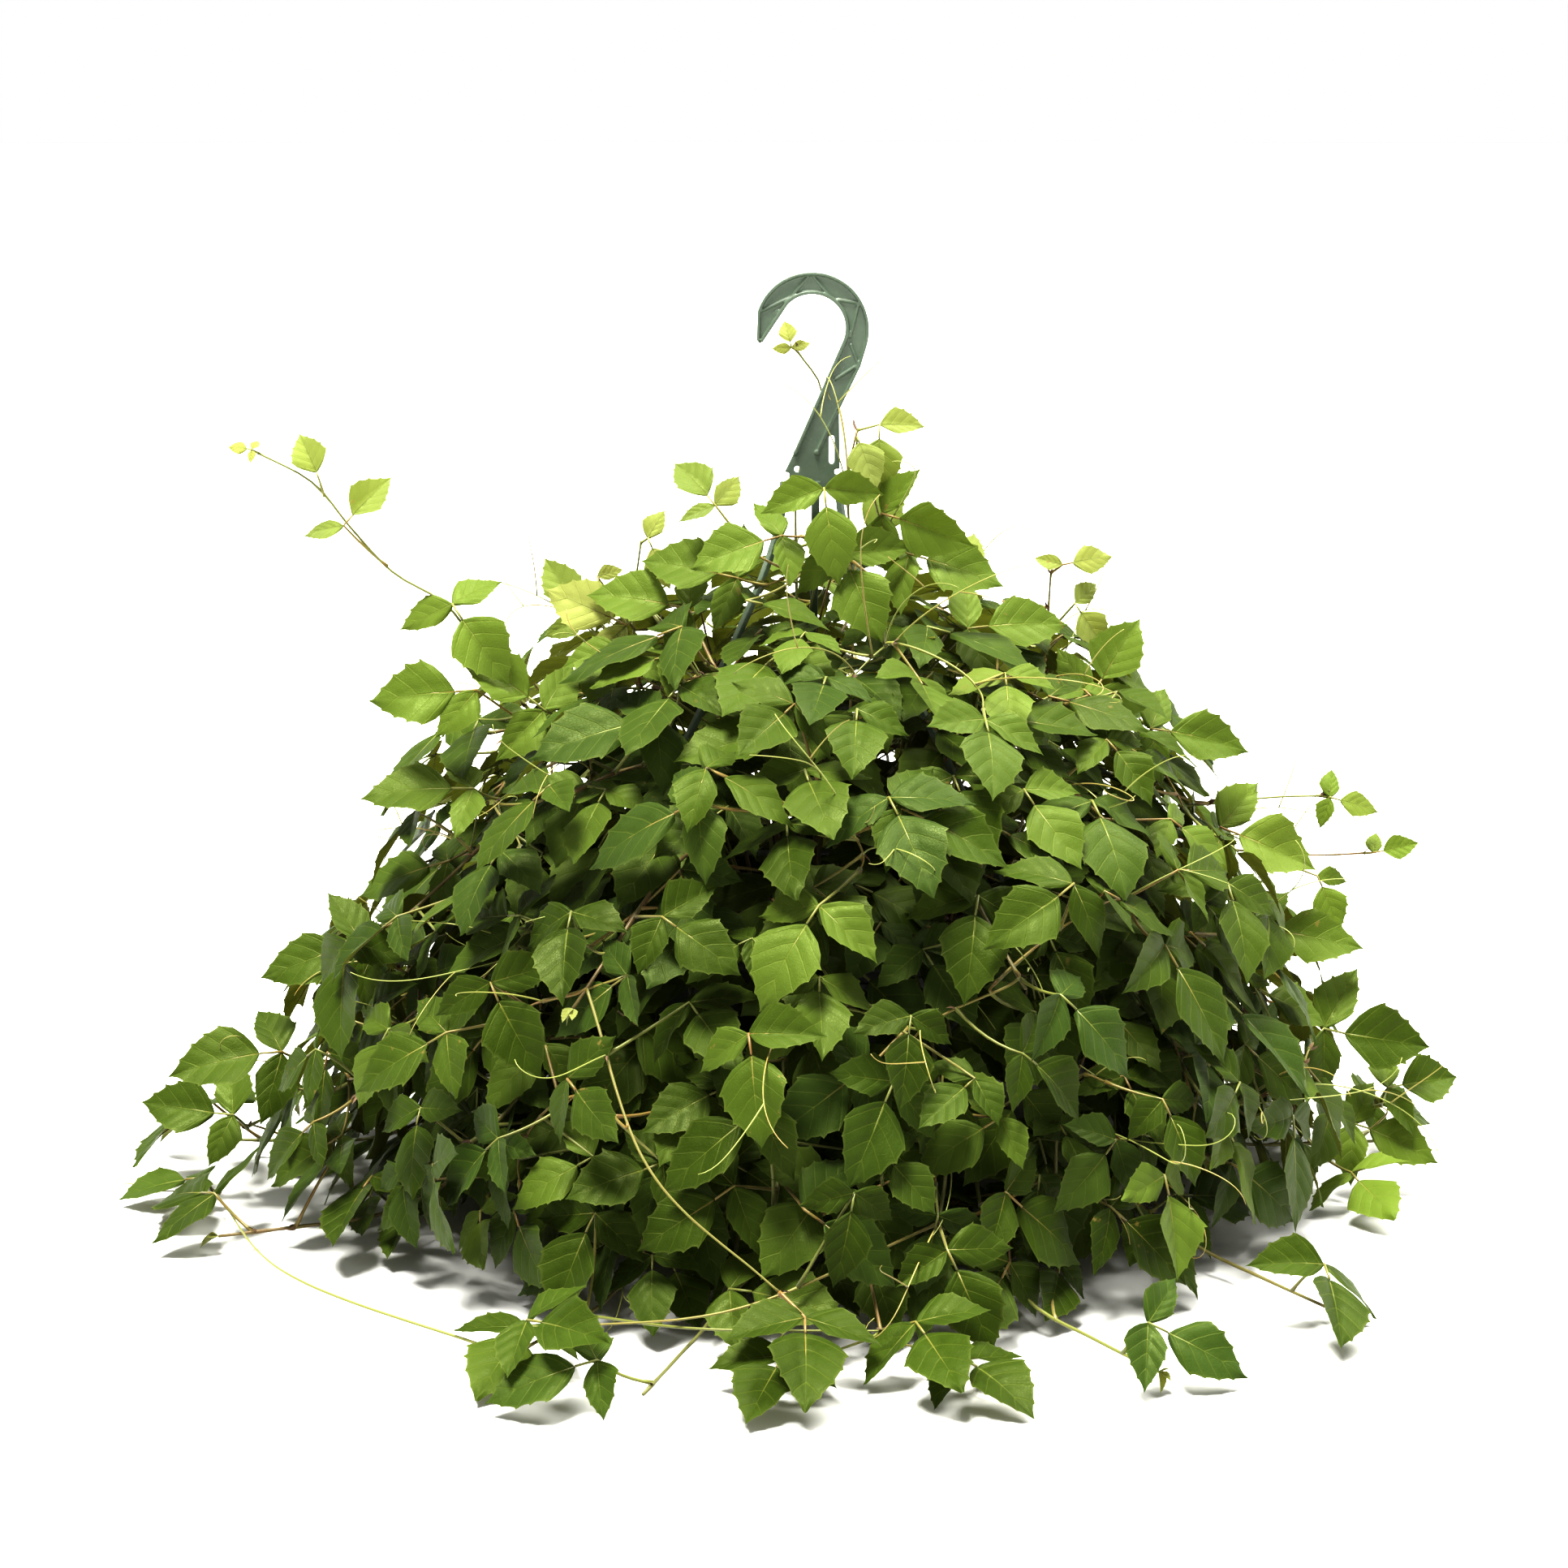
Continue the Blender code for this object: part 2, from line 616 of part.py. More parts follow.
def make_pot():
    pot = new_object("pot", pot_body(POT_SIDES))
    cutters = []
    for azimuth in map(math.radians, LEG_AZIMUTHS):
        cutters.append(box(polar(LEG_FOOT_RADIUS, azimuth, POT_HEIGHT), (*SLOT_SIZE, 0.02), azimuth))
    for k in range(DRAIN_COUNT):
        centre = polar(DRAIN_RING, 2 * math.pi * (k + 0.5) / DRAIN_COUNT, 0)
        cutters.append(tube([centre - UP * 0.01, centre + UP * 0.01], (DRAIN_RADIUS, DRAIN_RADIUS), sides=8))
    boolean(pot, [joined(cutters)], "DIFFERENCE")
    pot.data.materials.clear()
    pot.data.materials.append(material("pot_plastic", (0.012, 0.022, 0.014), 0.35))


def make_soil(stems):
    lean = (POT_NECK_RADIUS - POT_BASE_RADIUS) / (POT_HEIGHT - POT_WALL)
    inside = POT_BASE_RADIUS - POT_WALL - GAP
    low = POT_WALL + GAP
    brim = inside + lean * (SOIL_TOP - low) - 0.0016
    profile = [(0, low), (inside - 0.001, low), (brim, SOIL_TOP), (0, SOIL_TOP)]
    soil = new_object("soil", lathe(profile, SOIL_SIDES))
    wide = STEM_RADII[0] + HOLE_SPARE
    holes = []
    for _, path in stems:
        foot = path[0]
        holes.append(tube([foot - UP * 0.002, foot + UP * 0.05], (wide, wide), sides=HOLE_SIDES))
    boolean(soil, [joined(holes)], "DIFFERENCE")
    soil.data.materials.clear()
    soil.data.materials.append(material("soil_mix", (0.035, 0.024, 0.016), 0.95))
    return soil


def arc(centre, radius, start, end, count):
    """Points of an arc in the X-Z plane, in millimetres and degrees."""
    return [(centre[0] + radius * math.cos(math.radians(a)), centre[1] + radius * math.sin(math.radians(a)))
            for a in np.linspace(start, end, count)]


def hook_lines(outer_count, inner_count):
    """The head's outer line, inner line and whole outline, in millimetres from the hook's centre."""
    outer = [(-29.6, -5.6)] + arc((0, 0), HOOK_OUTER, 161, -18, outer_count) + [(26.2, -19.2), (14.8, -42.8)]
    inner = [(-26.6, -6.4)] + arc((0, HOOK_INNER_RISE), HOOK_INNER, 135, -27, inner_count) + [(-9.8, -66.6)]
    bottom = [(15.3, -75.0), (12.4, -75.0), (12.4, -77.8), (16.2, -77.8), (16.5, -92.0), (13.4, -92.0)]
    bottom += arc((8.8, -90.0), 4.4, 0, 180, 6) + [(4.2, -92.0), (0.6, -92.0)]
    bottom += arc((-6.2, -90.0), 6.2, 0, 180, 8) + [(-13.6, -92.0), (-16.8, -92.0)]
    bottom += [(-16.2, -81.0), (-12.2, -81.0), (-12.2, -77.0), (-14.6, -76.6)]
    return outer, inner, outer + bottom + inner[::-1] + [(-28.2, -7.2)]


def on_head(points):
    return [(x * MM, HOOK_CENTRE_Z + z * MM) for x, z in points]


def inset(points, amount):
    """A line of the head moved sideways, to the right of its way."""
    path = np.array(points, float)
    step = np.gradient(path, axis=0)
    step /= np.linalg.norm(step, axis=1)[:, None]
    return path + np.stack([step[:, 1], -step[:, 0]], axis=1) * amount


def bar(points, thickness, width=LIP_WIDTH):
    """A rib of the head along its points, even about the head's middle plane."""
    path = [(x, 0.0, z) for x, z in on_head(points)]
    section = [(-thickness / 2, -width / 2), (thickness / 2, -width / 2),
               (thickness / 2, width / 2), (-thickness / 2, width / 2)]
    return sweep(path, section, [1] * len(path), side=(0, 1, 0))


def leg(start, azimuth, count):
    """One leg of the hanger, from under its head to below the rim."""
    top = np.array([start, 0.0, LEG_TOP_Z])
    foot = polar(LEG_FOOT_RADIUS, azimuth, POT_HEIGHT + LEG_STRAIGHT)
    knee, shin = top - UP * 0.055, polar(LEG_FOOT_RADIUS * 0.86, azimuth, foot[2] + 0.065)
    run = []
    for t in np.linspace(0, 1, count):
        s = 1 - t
        run.append(s ** 3 * top + 3 * s * s * t * knee + 3 * s * t * t * shin + t ** 3 * foot)
    path = [top + UP * 0.004] + run + [foot - UP * (LEG_STRAIGHT + 0.0095)]
    wide, deep = LEG_SECTION
    section = [(-deep / 2, -wide / 2), (deep / 2, -wide / 2), (deep / 2, wide / 2), (-deep / 2, wide / 2)]
    return sweep(path, section, [1] * len(path), side=polar(1.0, azimuth + math.pi / 2, 0.0))


def hanger_pieces(outer_count, inner_count, leg_count, post_sides):
    """The head's web and everything that is moulded to it."""
    outer, inner, outline = hook_lines(outer_count, inner_count)
    pieces = [bar(inset(outer, 0.6), LIP_THICK), bar(inset(inner, -0.8), LIP_THICK, 1.2 * LIP_WIDTH)]
    pieces += [bar(ends, BRACE_THICK, 0.0012) for ends in BRACES]
    post = BRACE_THICK / 2 + 0.0003
    for x, z in on_head(((-8.6, -66.2), (2.8, -66.0))):
        pieces.append(tube([(x, -post, z), (x, post, z)], (0.0013, 0.0013), sides=post_sides))
    for start, degrees in zip(LEG_STARTS, LEG_AZIMUTHS):
        azimuth = math.radians(degrees)
        pieces.append(leg(start, azimuth, leg_count))
        barb = polar(LEG_FOOT_RADIUS, azimuth, POT_HEIGHT - FLANGE_DROP - GAP - BARB_SIZE[2] / 2)
        pieces.append(box(barb, BARB_SIZE, azimuth))
    return prism(on_head(outline), WEB_THICK), pieces


def make_hanger():
    web, pieces = hanger_pieces(*HANGER_COUNTS)
    hanger = new_object("hanger", web)
    boolean(hanger, pieces, "UNION")
    x, z, wide, high = (v * MM for v in TAG_SLOT)
    slot = box(np.array([x, 0.0, HOOK_CENTRE_Z + z]), (wide, 0.02, high))
    x, z, radius = (v * MM for v in TIE_HOLE)
    hole = [(x, y, HOOK_CENTRE_Z + z) for y in (-0.01, 0.01)]
    boolean(hanger, [joined([slot, tube(hole, (radius, radius), sides=10)])], "DIFFERENCE")
    hanger.data.materials.clear()
    hanger.data.materials.append(material("hanger_plastic", (0.075, 0.115, 0.075), 0.45))


def main():
    for obj in list(bpy.data.objects):
        bpy.data.objects.remove(obj)
    make_hanger()
    make_pot()
    rng = random.Random(LAYOUT_SEED)
    obstacles = Obstacles()
    web, pieces = hanger_pieces(*HANGER_COUNTS)
    obstacles.add(joined([web] + pieces), "hanger")
    obstacles.add(pot_body(POT_SIDES), "pot")
    stems = lay_stems(rng, obstacles)
    make_soil(stems)
    leaves = lay_leaves(stems, rng, obstacles)
    foliage = material("foliage", (0.045, 0.125, 0.022), 0.42)
    for name, path in stems:
        node = new_object(name, tube(path, STEM_RADII))
        pieces = [leaf_mesh(leaf) for leaf in leaves[name]]
        if pieces:
            boolean(node, pieces, "UNION")
            keep_largest(node)
        node.data.materials.clear()
        node.data.materials.append(foliage)


main()
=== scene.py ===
"""The looks of a trailing vine in a hanging pot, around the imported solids.

Metres, +Z up, seen from -Y. The stems and leaves of the solids are laid out again in the same way,
then each gets its toothed, veined blades, and finer shoots close the mass between them.
"""

import json
import math
import random

import bmesh
import bpy
import numpy as np
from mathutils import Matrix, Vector, noise
from mathutils.bvhtree import BVHTree

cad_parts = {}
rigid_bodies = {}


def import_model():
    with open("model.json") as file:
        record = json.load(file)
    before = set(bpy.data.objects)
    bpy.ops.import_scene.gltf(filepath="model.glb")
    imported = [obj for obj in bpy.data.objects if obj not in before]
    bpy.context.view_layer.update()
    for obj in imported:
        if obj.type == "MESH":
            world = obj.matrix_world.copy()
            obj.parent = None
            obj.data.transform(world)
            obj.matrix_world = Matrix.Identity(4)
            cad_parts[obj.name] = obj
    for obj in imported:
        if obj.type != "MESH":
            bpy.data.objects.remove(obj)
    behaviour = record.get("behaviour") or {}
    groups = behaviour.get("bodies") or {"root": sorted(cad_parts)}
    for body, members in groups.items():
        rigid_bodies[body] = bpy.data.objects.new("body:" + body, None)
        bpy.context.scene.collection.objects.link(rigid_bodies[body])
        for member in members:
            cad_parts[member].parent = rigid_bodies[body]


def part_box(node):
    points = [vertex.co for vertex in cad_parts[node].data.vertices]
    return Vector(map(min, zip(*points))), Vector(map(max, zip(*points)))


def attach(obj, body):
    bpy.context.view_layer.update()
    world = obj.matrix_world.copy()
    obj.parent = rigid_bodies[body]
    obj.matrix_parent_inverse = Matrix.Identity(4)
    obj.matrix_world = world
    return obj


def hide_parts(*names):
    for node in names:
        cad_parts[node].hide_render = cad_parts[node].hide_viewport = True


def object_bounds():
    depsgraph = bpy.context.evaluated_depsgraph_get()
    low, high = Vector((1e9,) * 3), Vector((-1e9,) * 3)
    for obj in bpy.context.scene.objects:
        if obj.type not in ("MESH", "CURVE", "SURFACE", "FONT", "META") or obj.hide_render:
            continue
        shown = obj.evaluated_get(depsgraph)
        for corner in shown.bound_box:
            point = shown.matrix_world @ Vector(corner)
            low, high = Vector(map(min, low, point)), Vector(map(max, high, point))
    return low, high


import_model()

# ---------------------------------------------------------------------------------------------
# Layout of the solids

MM = 0.001
UP = np.array([0.0, 0.0, 1.0])
GAP = 0.00035

# Pot
POT_HEIGHT = 0.161
POT_BASE_RADIUS = 0.087
POT_NECK_RADIUS = 0.1185
POT_RIM_RADIUS = 0.130
POT_WALL = 0.0025
FLANGE_DROP = 0.003
LIP_DROP = 0.007
POT_SIDES = 28
SLOT_SIZE = (0.0040, 0.0053)
DRAIN_RADIUS = 0.0019
DRAIN_RING = 0.062
DRAIN_COUNT = 6
UNDERSIDE_HUB = (0.0282, 0.0101)

# Soil
SOIL_TOP = 0.146
ROOT_DEPTH = 0.022

# Hanger: the head lies in the X-Z plane, its sizes in millimetres from the hook's centre
HOOK_CENTRE_Z = 0.478
HOOK_OUTER = 30.6
HOOK_INNER = 18.3
HOOK_INNER_RISE = 0.9
WEB_THICK = 0.0020
LIP_THICK = 0.0054
LIP_WIDTH = 0.0015
BRACE_THICK = 0.0040
TAG_SLOT = (10.8, -64.4, 3.0, 15.6)
TIE_HOLE = (-7.9, -75.0, 1.7)
BRACES = (
    ((-27.5, 10.0), (-11.0, 17.6)), ((-11.0, 17.6), (-1.6, 29.0)), ((0.4, 29.0), (9.0, 18.6)),
    ((13.6, 16.2), (24.6, 14.4)), ((25.0, 13.6), (20.6, -4.2)), ((20.8, -7.4), (24.8, -17.8)),
    ((24.8, -18.8), (12.4, -26.6)), ((13.6, -43.0), (2.8, -66.0)),
)
HANGER_COUNTS = (12, 10, 11, 6)
LEG_STRAIGHT = 0.006
LEG_SECTION = (0.0030, 0.0044)
LEG_TOP_Z = 0.392
LEG_STARTS = (-0.0152, 0.0022, 0.0150)
LEG_AZIMUTHS = (210.0, 90.0, 330.0)
LEG_FOOT_RADIUS = 0.1245
BARB_SIZE = (0.0032, 0.0125, 0.0036)

# Leaves: outlines of a half blade as (share of length, share of half width), from tooth to tooth.
# The narrower half of a side blade takes the short one.
HALF_OUTLINE = ((0.37, 1.0), (0.50, 0.79), (0.69, 0.66))
SHORT_OUTLINE = ((0.40, 1.0), (0.69, 0.66))
CREST = 0.40
CREST_RISE = 0.02
BLADE_THICK = 0.0009
STALK_HALF = 0.0009
CLEARANCE = 0.0005
LATERAL_SIZE = 0.80
LATERAL_INNER = 0.70
SPREAD = (64.0, 84.0)
TRIES = 30
ROOM_ENOUGH = 0.06
LAYOUT_SEED = 5

# Dome that the leaves keep inside, as (height, reach) in metres
DOME = ((0.0, 0.395), (0.06, 0.385), (0.09, 0.33), (0.12, 0.298), (0.18, 0.270), (0.25, 0.235),
        (0.30, 0.185), (0.335, 0.12), (0.365, 0.05), (0.38, 0.0))

# Stem families: name, azimuths, root radius, profile of (reach, height), leaf places
FAMILIES = (
    ("crown", (20, 92, 164, 236, 308), 0.022, ((0.030, 0.22), (0.062, 0.282), (0.094, 0.314)), (0.7, 1.0)),
    ("upper", (47, 107, 167, 227, 274, 334), 0.044, ((0.062, 0.21), (0.115, 0.265), (0.180, 0.248)),
     (0.66, 1.0)),
    ("middle", (8, 68, 128, 188, 246, 300), 0.064, ((0.088, 0.195), (0.158, 0.225), (0.238, 0.162)),
     (0.52, 0.78, 1.0)),
    ("lower", (33, 84, 135, 196, 224, 258, 290, 346), 0.084,
     ((0.108, 0.186), (0.160, 0.175), (0.218, 0.10), (0.265, 0.062)), (0.68, 1.0)),
    ("floor", (6, 50, 100, 150, 176, 208, 250, 268, 288, 322), 0.098,
     ((0.122, 0.178), (0.152, 0.145), (0.182, 0.07), (0.240, 0.020), (0.345, 0.010)), (0.74, 1.0)),
)
STEM_RADII = (0.0017, 0.0010)
PATH_SPARE = 4
SPRIG_POINTS = 13
FLOOR_BAND = 0.06
LAST_SHARE = 0.97
LEAF_SIZE = (0.047, 0.063)

# Leaves that close the widest gaps low down, once each stem has its own
OUTER_FAMILIES = ("middle", "lower", "floor")
EXTRA_LEAVES = 4
EXTRA_SHARES = (0.42, 0.85)

# Sprigs that stand out from the dome, in millimetres: name, root, path, then leaves as
# (share of the path, junction x, y, z, tip's angle in the X-Z plane, blade length, leaflets, spread)
SPRIGS = (
    ("sprig_far_left", (-34, -12), ((-60, -26, 215), (-132, -38, 257), (-181, -40, 313), (-195, -40, 334),
                                    (-236, -40, 361), (-256, -40, 393), (-294, -40, 416)),
     ((0.60, -192, -46, 336, -62, 47, 3, 102), (0.78, -249, -45, 378, 58, 33, 2, 128),
      (0.90, -262, -44, 404, 110, 27, 1, 0), (1.0, -297, -42, 418, 165, 11, 3, 100),
      (0.34, -178, -66, 293, 186, 50, 2, 46))),
    ("sprig_hanger", (16, -36), ((20, -36, 250), (22, -31, 330), (19, -30, 400), (24, -30, 427)),
     ((0.88, 24, -36, 424, -76, 31, 1, 0), (1.0, 36, -29, 430, -92, 38, 2, 100))),
    ("sprig_pale", (-4, 30), ((-6, 26, 260), (-8, 17, 390), (5, 16, 436), (2, 16, 456), (-8, 12, 466)),
     ((1.0, -11, 8, 468, 100, 15, 3, 80),)),
    ("sprig_top_left", (-36, 22), ((-70, 30, 250), (-97, 24, 300), (-97, 22, 337), (-94, 20, 360)),
     ((1.0, -90, 17, 363, -68, 26, 2, 130), (0.80, -118, 14, 342, -80, 24, 2, 95))),
    ("sprig_top_right", (44, 14), ((90, 10, 235), (124, 4, 279), (130, 1, 326), (131, 0, 346)),
     ((0.86, 144, -5, 330, -62, 26, 2, 100), (1.0, 137, -3, 351, 12, 27, 2, 150))),
    ("sprig_right", (70, -6), ((150, 0, 222), (201, 12, 213), (256, 20, 216), (286, 20, 217)),
     ((1.0, 291, 16, 217, -18, 26, 3, 96),)),
    ("sprig_far_right", (80, 10), ((160, 18, 205), (220, 24, 188), (275, 24, 182), (312, 20, 184)),
     ((1.0, 317, 17, 185, 12, 24, 2, 70), (0.80, 285, 15, 172, -70, 30, 2, 62))),
)


def unit(v):
    v = np.asarray(v, float)
    return v / np.linalg.norm(v)


def polar(radius, azimuth, z):
    return np.array([radius * math.cos(azimuth), radius * math.sin(azimuth), z])


def turn(v, axis, angle):
    """v turned about a unit axis."""
    c, s = math.cos(angle), math.sin(angle)
    return v * c + np.cross(axis, v) * s + axis * np.dot(axis, v) * (1 - c)


def flatten(v, normal):
    """The part of v that lies square to the normal, at unit length."""
    return unit(v - normal * np.dot(v, normal))


def clamp(value):
    return min(1.0, max(0.0, value))


def scatter(rng, *ranges):
    """A vector whose parts are drawn one after another from these ranges."""
    return np.array([rng.uniform(*span) for span in ranges])


def bezier(a, b, c, d, count):
    """Points of a curve from a to d that sets out towards b and comes in from c."""
    points = []
    for t in np.linspace(0, 1, count):
        s = 1 - t
        points.append(s ** 3 * a + 3 * s * s * t * b + 3 * s * t * t * c + t ** 3 * d)
    return points


def spline(points, count):
    """A smooth curve through the points, as count points at even distances."""
    p = [np.asarray(q, float) for q in points]
    p = [2 * p[0] - p[1]] + p + [2 * p[-1] - p[-2]]
    fine = []
    for a, b, c, d in zip(p, p[1:], p[2:], p[3:]):
        for t in np.linspace(0, 1, 12, endpoint=False):
            fine.append(0.5 * (2 * b + (c - a) * t + (2 * a - 5 * b + 4 * c - d) * t * t
                               + (3 * b - a - 3 * c + d) * t ** 3))
    fine = np.array(fine + [p[-2]])
    run = np.concatenate([[0], np.cumsum(np.linalg.norm(np.diff(fine, axis=0), axis=1))])
    even = np.linspace(0, run[-1], count)
    return np.stack([np.interp(even, run, fine[:, k]) for k in range(3)], axis=1)


def along_path(path, share):
    """The point at this share of the path's points, and the direction there."""
    at = share * (len(path) - 1)
    i = min(int(at), len(path) - 2)
    step = path[i + 1] - path[i]
    return path[i] + step * (at - i), unit(step)


def sweep(path, section, scales, side=None):
    """A closed tube: the section's (sideways, upwards) points carried along the path."""
    path = np.asarray(path, float)
    tangents = np.gradient(path, axis=0)
    tangents /= np.linalg.norm(tangents, axis=1)[:, None]
    across = np.asarray(side, float) if side is not None else np.cross(tangents[0], [0.31, 0.87, 0.38])
    verts = []
    for point, tangent, scale in zip(path, tangents, scales):
        across = flatten(across, tangent)
        lift = np.cross(tangent, across)
        verts += [point + scale * (a * across + b * lift) for a, b in section]
    n = len(section)
    faces = []
    for i in range(len(path) - 1):
        for k in range(n):
            a, b = i * n + k, i * n + (k + 1) % n
            faces += [(a, b, b + n), (a, b + n, a + n)]
    last = (len(path) - 1) * n
    for k in range(1, n - 1):
        faces += [(0, k + 1, k), (last, last + k, last + k + 1)]
    return np.array(verts), faces


def ring(sides):
    return [(math.cos(2 * math.pi * k / sides), math.sin(2 * math.pi * k / sides)) for k in range(sides)]


def oblong(wide, high):
    return [(-wide / 2, -high / 2), (wide / 2, -high / 2), (wide / 2, high / 2), (-wide / 2, high / 2)]


def tube(path, radii, grow=0.0, sides=3):
    return sweep(path, ring(sides), np.interp(np.linspace(0, 1, len(path)), [0, 1], radii) + grow)


def blade_point(leaf, u, v):
    """A point of the upper face: u runs from base to tip, v from -1 to 1 across the widest part."""
    base, along, normal, length, halves, droop, fold, wave = leaf
    across = np.cross(along, normal)
    half = halves[0] if v < 0 else halves[1]
    lift = fold * abs(v) * half - droop * u * u * length
    lift += wave * length * math.sin(7 * u + 2.2 * v) * abs(v)
    return base + along * (u * length) + across * (v * half) + normal * lift


def fan(blade):
    """The blade's crest and its outline from the right of its base round to the left."""
    crest = blade_point(blade, CREST, 0.0) + blade[2] * (CREST_RISE * blade[3])
    left_half, right_half = blade[4]

    def side(sign, half, other):
        rows = SHORT_OUTLINE if half < other else HALF_OUTLINE
        return [blade_point(blade, u, sign * v) for u, v in rows]

    left = side(-1, left_half, right_half)
    return crest, side(1, right_half, left_half) + [blade_point(blade, 1.0, 0.0)] + left[::-1]


def leaf_mesh(leaf, grow=0.0):
    """A whole leaf as one closed slab: stalk, end blade, then a left and a right blade if it has them."""
    start, junction, along, normal, blades = leaf
    end, left, right = blades
    across = np.cross(along, normal)
    wide = STALK_HALF + grow
    points, depths, triangles = [], [], []

    def add(point, depth):
        points.append(point)
        depths.append(depth)
        return len(points) - 1

    def web(blade, first, last):
        crest, outline = fan(blade)
        base = blade[0]
        depth = blade[2] * (BLADE_THICK / 2 + grow)
        middle = add(crest, depth)
        run = [add(p + unit(p - base) * grow, depth) for p in outline]
        chain = [first] + run + [last]
        triangles.extend((middle, a, b) for a, b in zip(chain, chain[1:] + chain[:1]))
        return run

    step = unit(junction - start)
    side = unit(np.cross(step, normal))
    deep = np.cross(side, step) * wide
    root_right, root_left = add(start + side * wide, deep), add(start - side * wide, deep)
    back_left, front_left, front_right, back_right = (
        add(junction + (across * x + along * y) * wide, normal * wide)
        for x, y in ((-1, -1), (-1, 1), (1, 1), (1, -1)))
    neck = [add(end[0] + across * x * wide, normal * wide) for x in (1, -1)]
    loop = [root_right, back_right]
    if right:
        loop += web(right, back_right, front_right)
    loop += [front_right, neck[0]] + web(end, neck[0], neck[1]) + [neck[1], front_left]
    if left:
        loop += web(left, front_left, back_left)
    loop += [back_left, root_left]
    triangles += [(root_left, root_right, back_right), (root_left, back_right, back_left),
                  (back_left, back_right, front_right), (back_left, front_right, front_left),
                  (front_left, front_right, neck[0]), (front_left, neck[0], neck[1])]
    n = len(points)
    verts = [p + d for p, d in zip(points, depths)] + [p - d for p, d in zip(points, depths)]
    faces = list(triangles) + [(a + n, c + n, b + n) for a, b, c in triangles]
    for a, b in zip(loop, loop[1:] + loop[:1]):
        faces += [(a + n, b + n, b), (a + n, b, a)]
    return np.array(verts), faces


def blades_meet(blades):
    """True if two blades of one leaf would run into each other."""
    trees = []
    for blade in filter(None, blades):
        crest, outline = fan(blade)
        ring_points = [crest] + outline
        n = len(ring_points)
        verts = [p + blade[2] * d for d in (-CLEARANCE, CLEARANCE) for p in ring_points]
        faces = [(m, m + k, m + k + 1) for m in (0, n) for k in range(1, n - 1)]
        trees.append(BVHTree.FromPolygons([tuple(v) for v in verts], faces))
    return any(a.overlap(b) for i, a in enumerate(trees) for b in trees[i + 1:])


def compound(start, junction, along, normal, size, rng, leaflets=3, spread=None):
    """A leaf of one to three leaflets as its stalk's two ends, its frame and its blades."""
    neck = junction + along * ((0.24 if leaflets > 1 else 0.10) * size)

    def shape():
        return rng.uniform(0.06, 0.24), rng.uniform(0.10, 0.42), rng.uniform(0.01, 0.045)

    half = size * rng.uniform(0.38, 0.47)
    ahead = turn(along, normal, rng.uniform(-0.1, 0.1))
    blades = [(neck, ahead, normal, size, (half, half), *shape()), None, None]
    for k in range(1, leaflets):
        sign = 1 if k == 1 else -1
        aim = turn(along, normal, sign * math.radians(spread or rng.uniform(*SPREAD)))
        rolled = np.cross(aim, normal) * rng.uniform(-0.3, 0.3)
        facing = unit(normal + rolled + aim * rng.uniform(-0.1, 0.3))
        long = size * LATERAL_SIZE * rng.uniform(0.88, 1.08)
        wide = long * rng.uniform(0.38, 0.44)
        inner = wide * LATERAL_INNER
        halves = (wide, inner) if sign > 0 else (inner, wide)
        blades[k] = (junction, flatten(aim, facing), facing, long, halves, *shape())
    return start, junction, along, normal, blades


def joined(meshes):
    verts, faces, base = [], [], 0
    for points, triangles in meshes:
        verts.append(points)
        faces += [tuple(base + k for k in triangle) for triangle in triangles]
        base += len(points)
    return np.concatenate(verts), faces


class Obstacles:
    """Shapes already placed, with a quick box test before the exact one."""

    def __init__(self):
        self.lows, self.highs, self.trees, self.owners = [], [], [], []
        self.table = None

    def add(self, mesh, owner):
        points, faces = mesh
        self.table = None
        self.lows.append(points.min(axis=0))
        self.highs.append(points.max(axis=0))
        self.trees.append(BVHTree.FromPolygons(points.tolist(), faces))
        self.owners.append(owner)

    def hit(self, mesh, skip=None):
        points, faces = mesh
        low, high = points.min(axis=0), points.max(axis=0)
        if self.table is None:
            self.table = np.array(self.lows), np.array(self.highs)
        near = np.all((self.table[0] <= high) & (self.table[1] >= low), axis=1)
        tree = None
        for i in np.flatnonzero(near):
            if self.owners[i] == skip:
                continue
            tree = tree or BVHTree.FromPolygons(points.tolist(), faces)
            if tree.overlap(self.trees[i]):
                return True
        return False

    def without(self, owner):
        """The same shapes apart from this owner's."""
        rest = Obstacles()
        rows = [row for row in zip(self.lows, self.highs, self.trees, self.owners) if row[3] != owner]
        rest.lows, rest.highs, rest.trees, rest.owners = map(list, zip(*rows))
        return rest


def in_dome(points):
    reach = np.interp(points[:, 2], [z for z, _ in DOME], [r for _, r in DOME])
    return bool(np.all(np.hypot(points[:, 0], points[:, 1]) < reach))


def off_pot(points):
    """True if no point is under the floor or within the pot's outside."""
    reach = np.hypot(points[:, 0], points[:, 1])
    wall = np.interp(points[:, 2], [0, POT_HEIGHT], [POT_BASE_RADIUS, POT_RIM_RADIUS]) + 0.004
    low = points[:, 2] < POT_HEIGHT + 0.002
    return bool(points[:, 2].min() > 0.0008 and not np.any(low & (reach < wall)))


def outward(point):
    """The dome's outward direction at a point."""
    x, y, z = point
    return unit([x / 0.30 ** 2, y / 0.30 ** 2, max(z - 0.05, 0.0) / 0.31 ** 2])


def lie(point):
    """Outward and level at a point, and how low it lies: from 1 on the floor to 0 above its band."""
    out = outward(point)
    return out, unit(np.cross(UP, out)), max(0.0, 1.0 - point[2] / FLOOR_BAND)


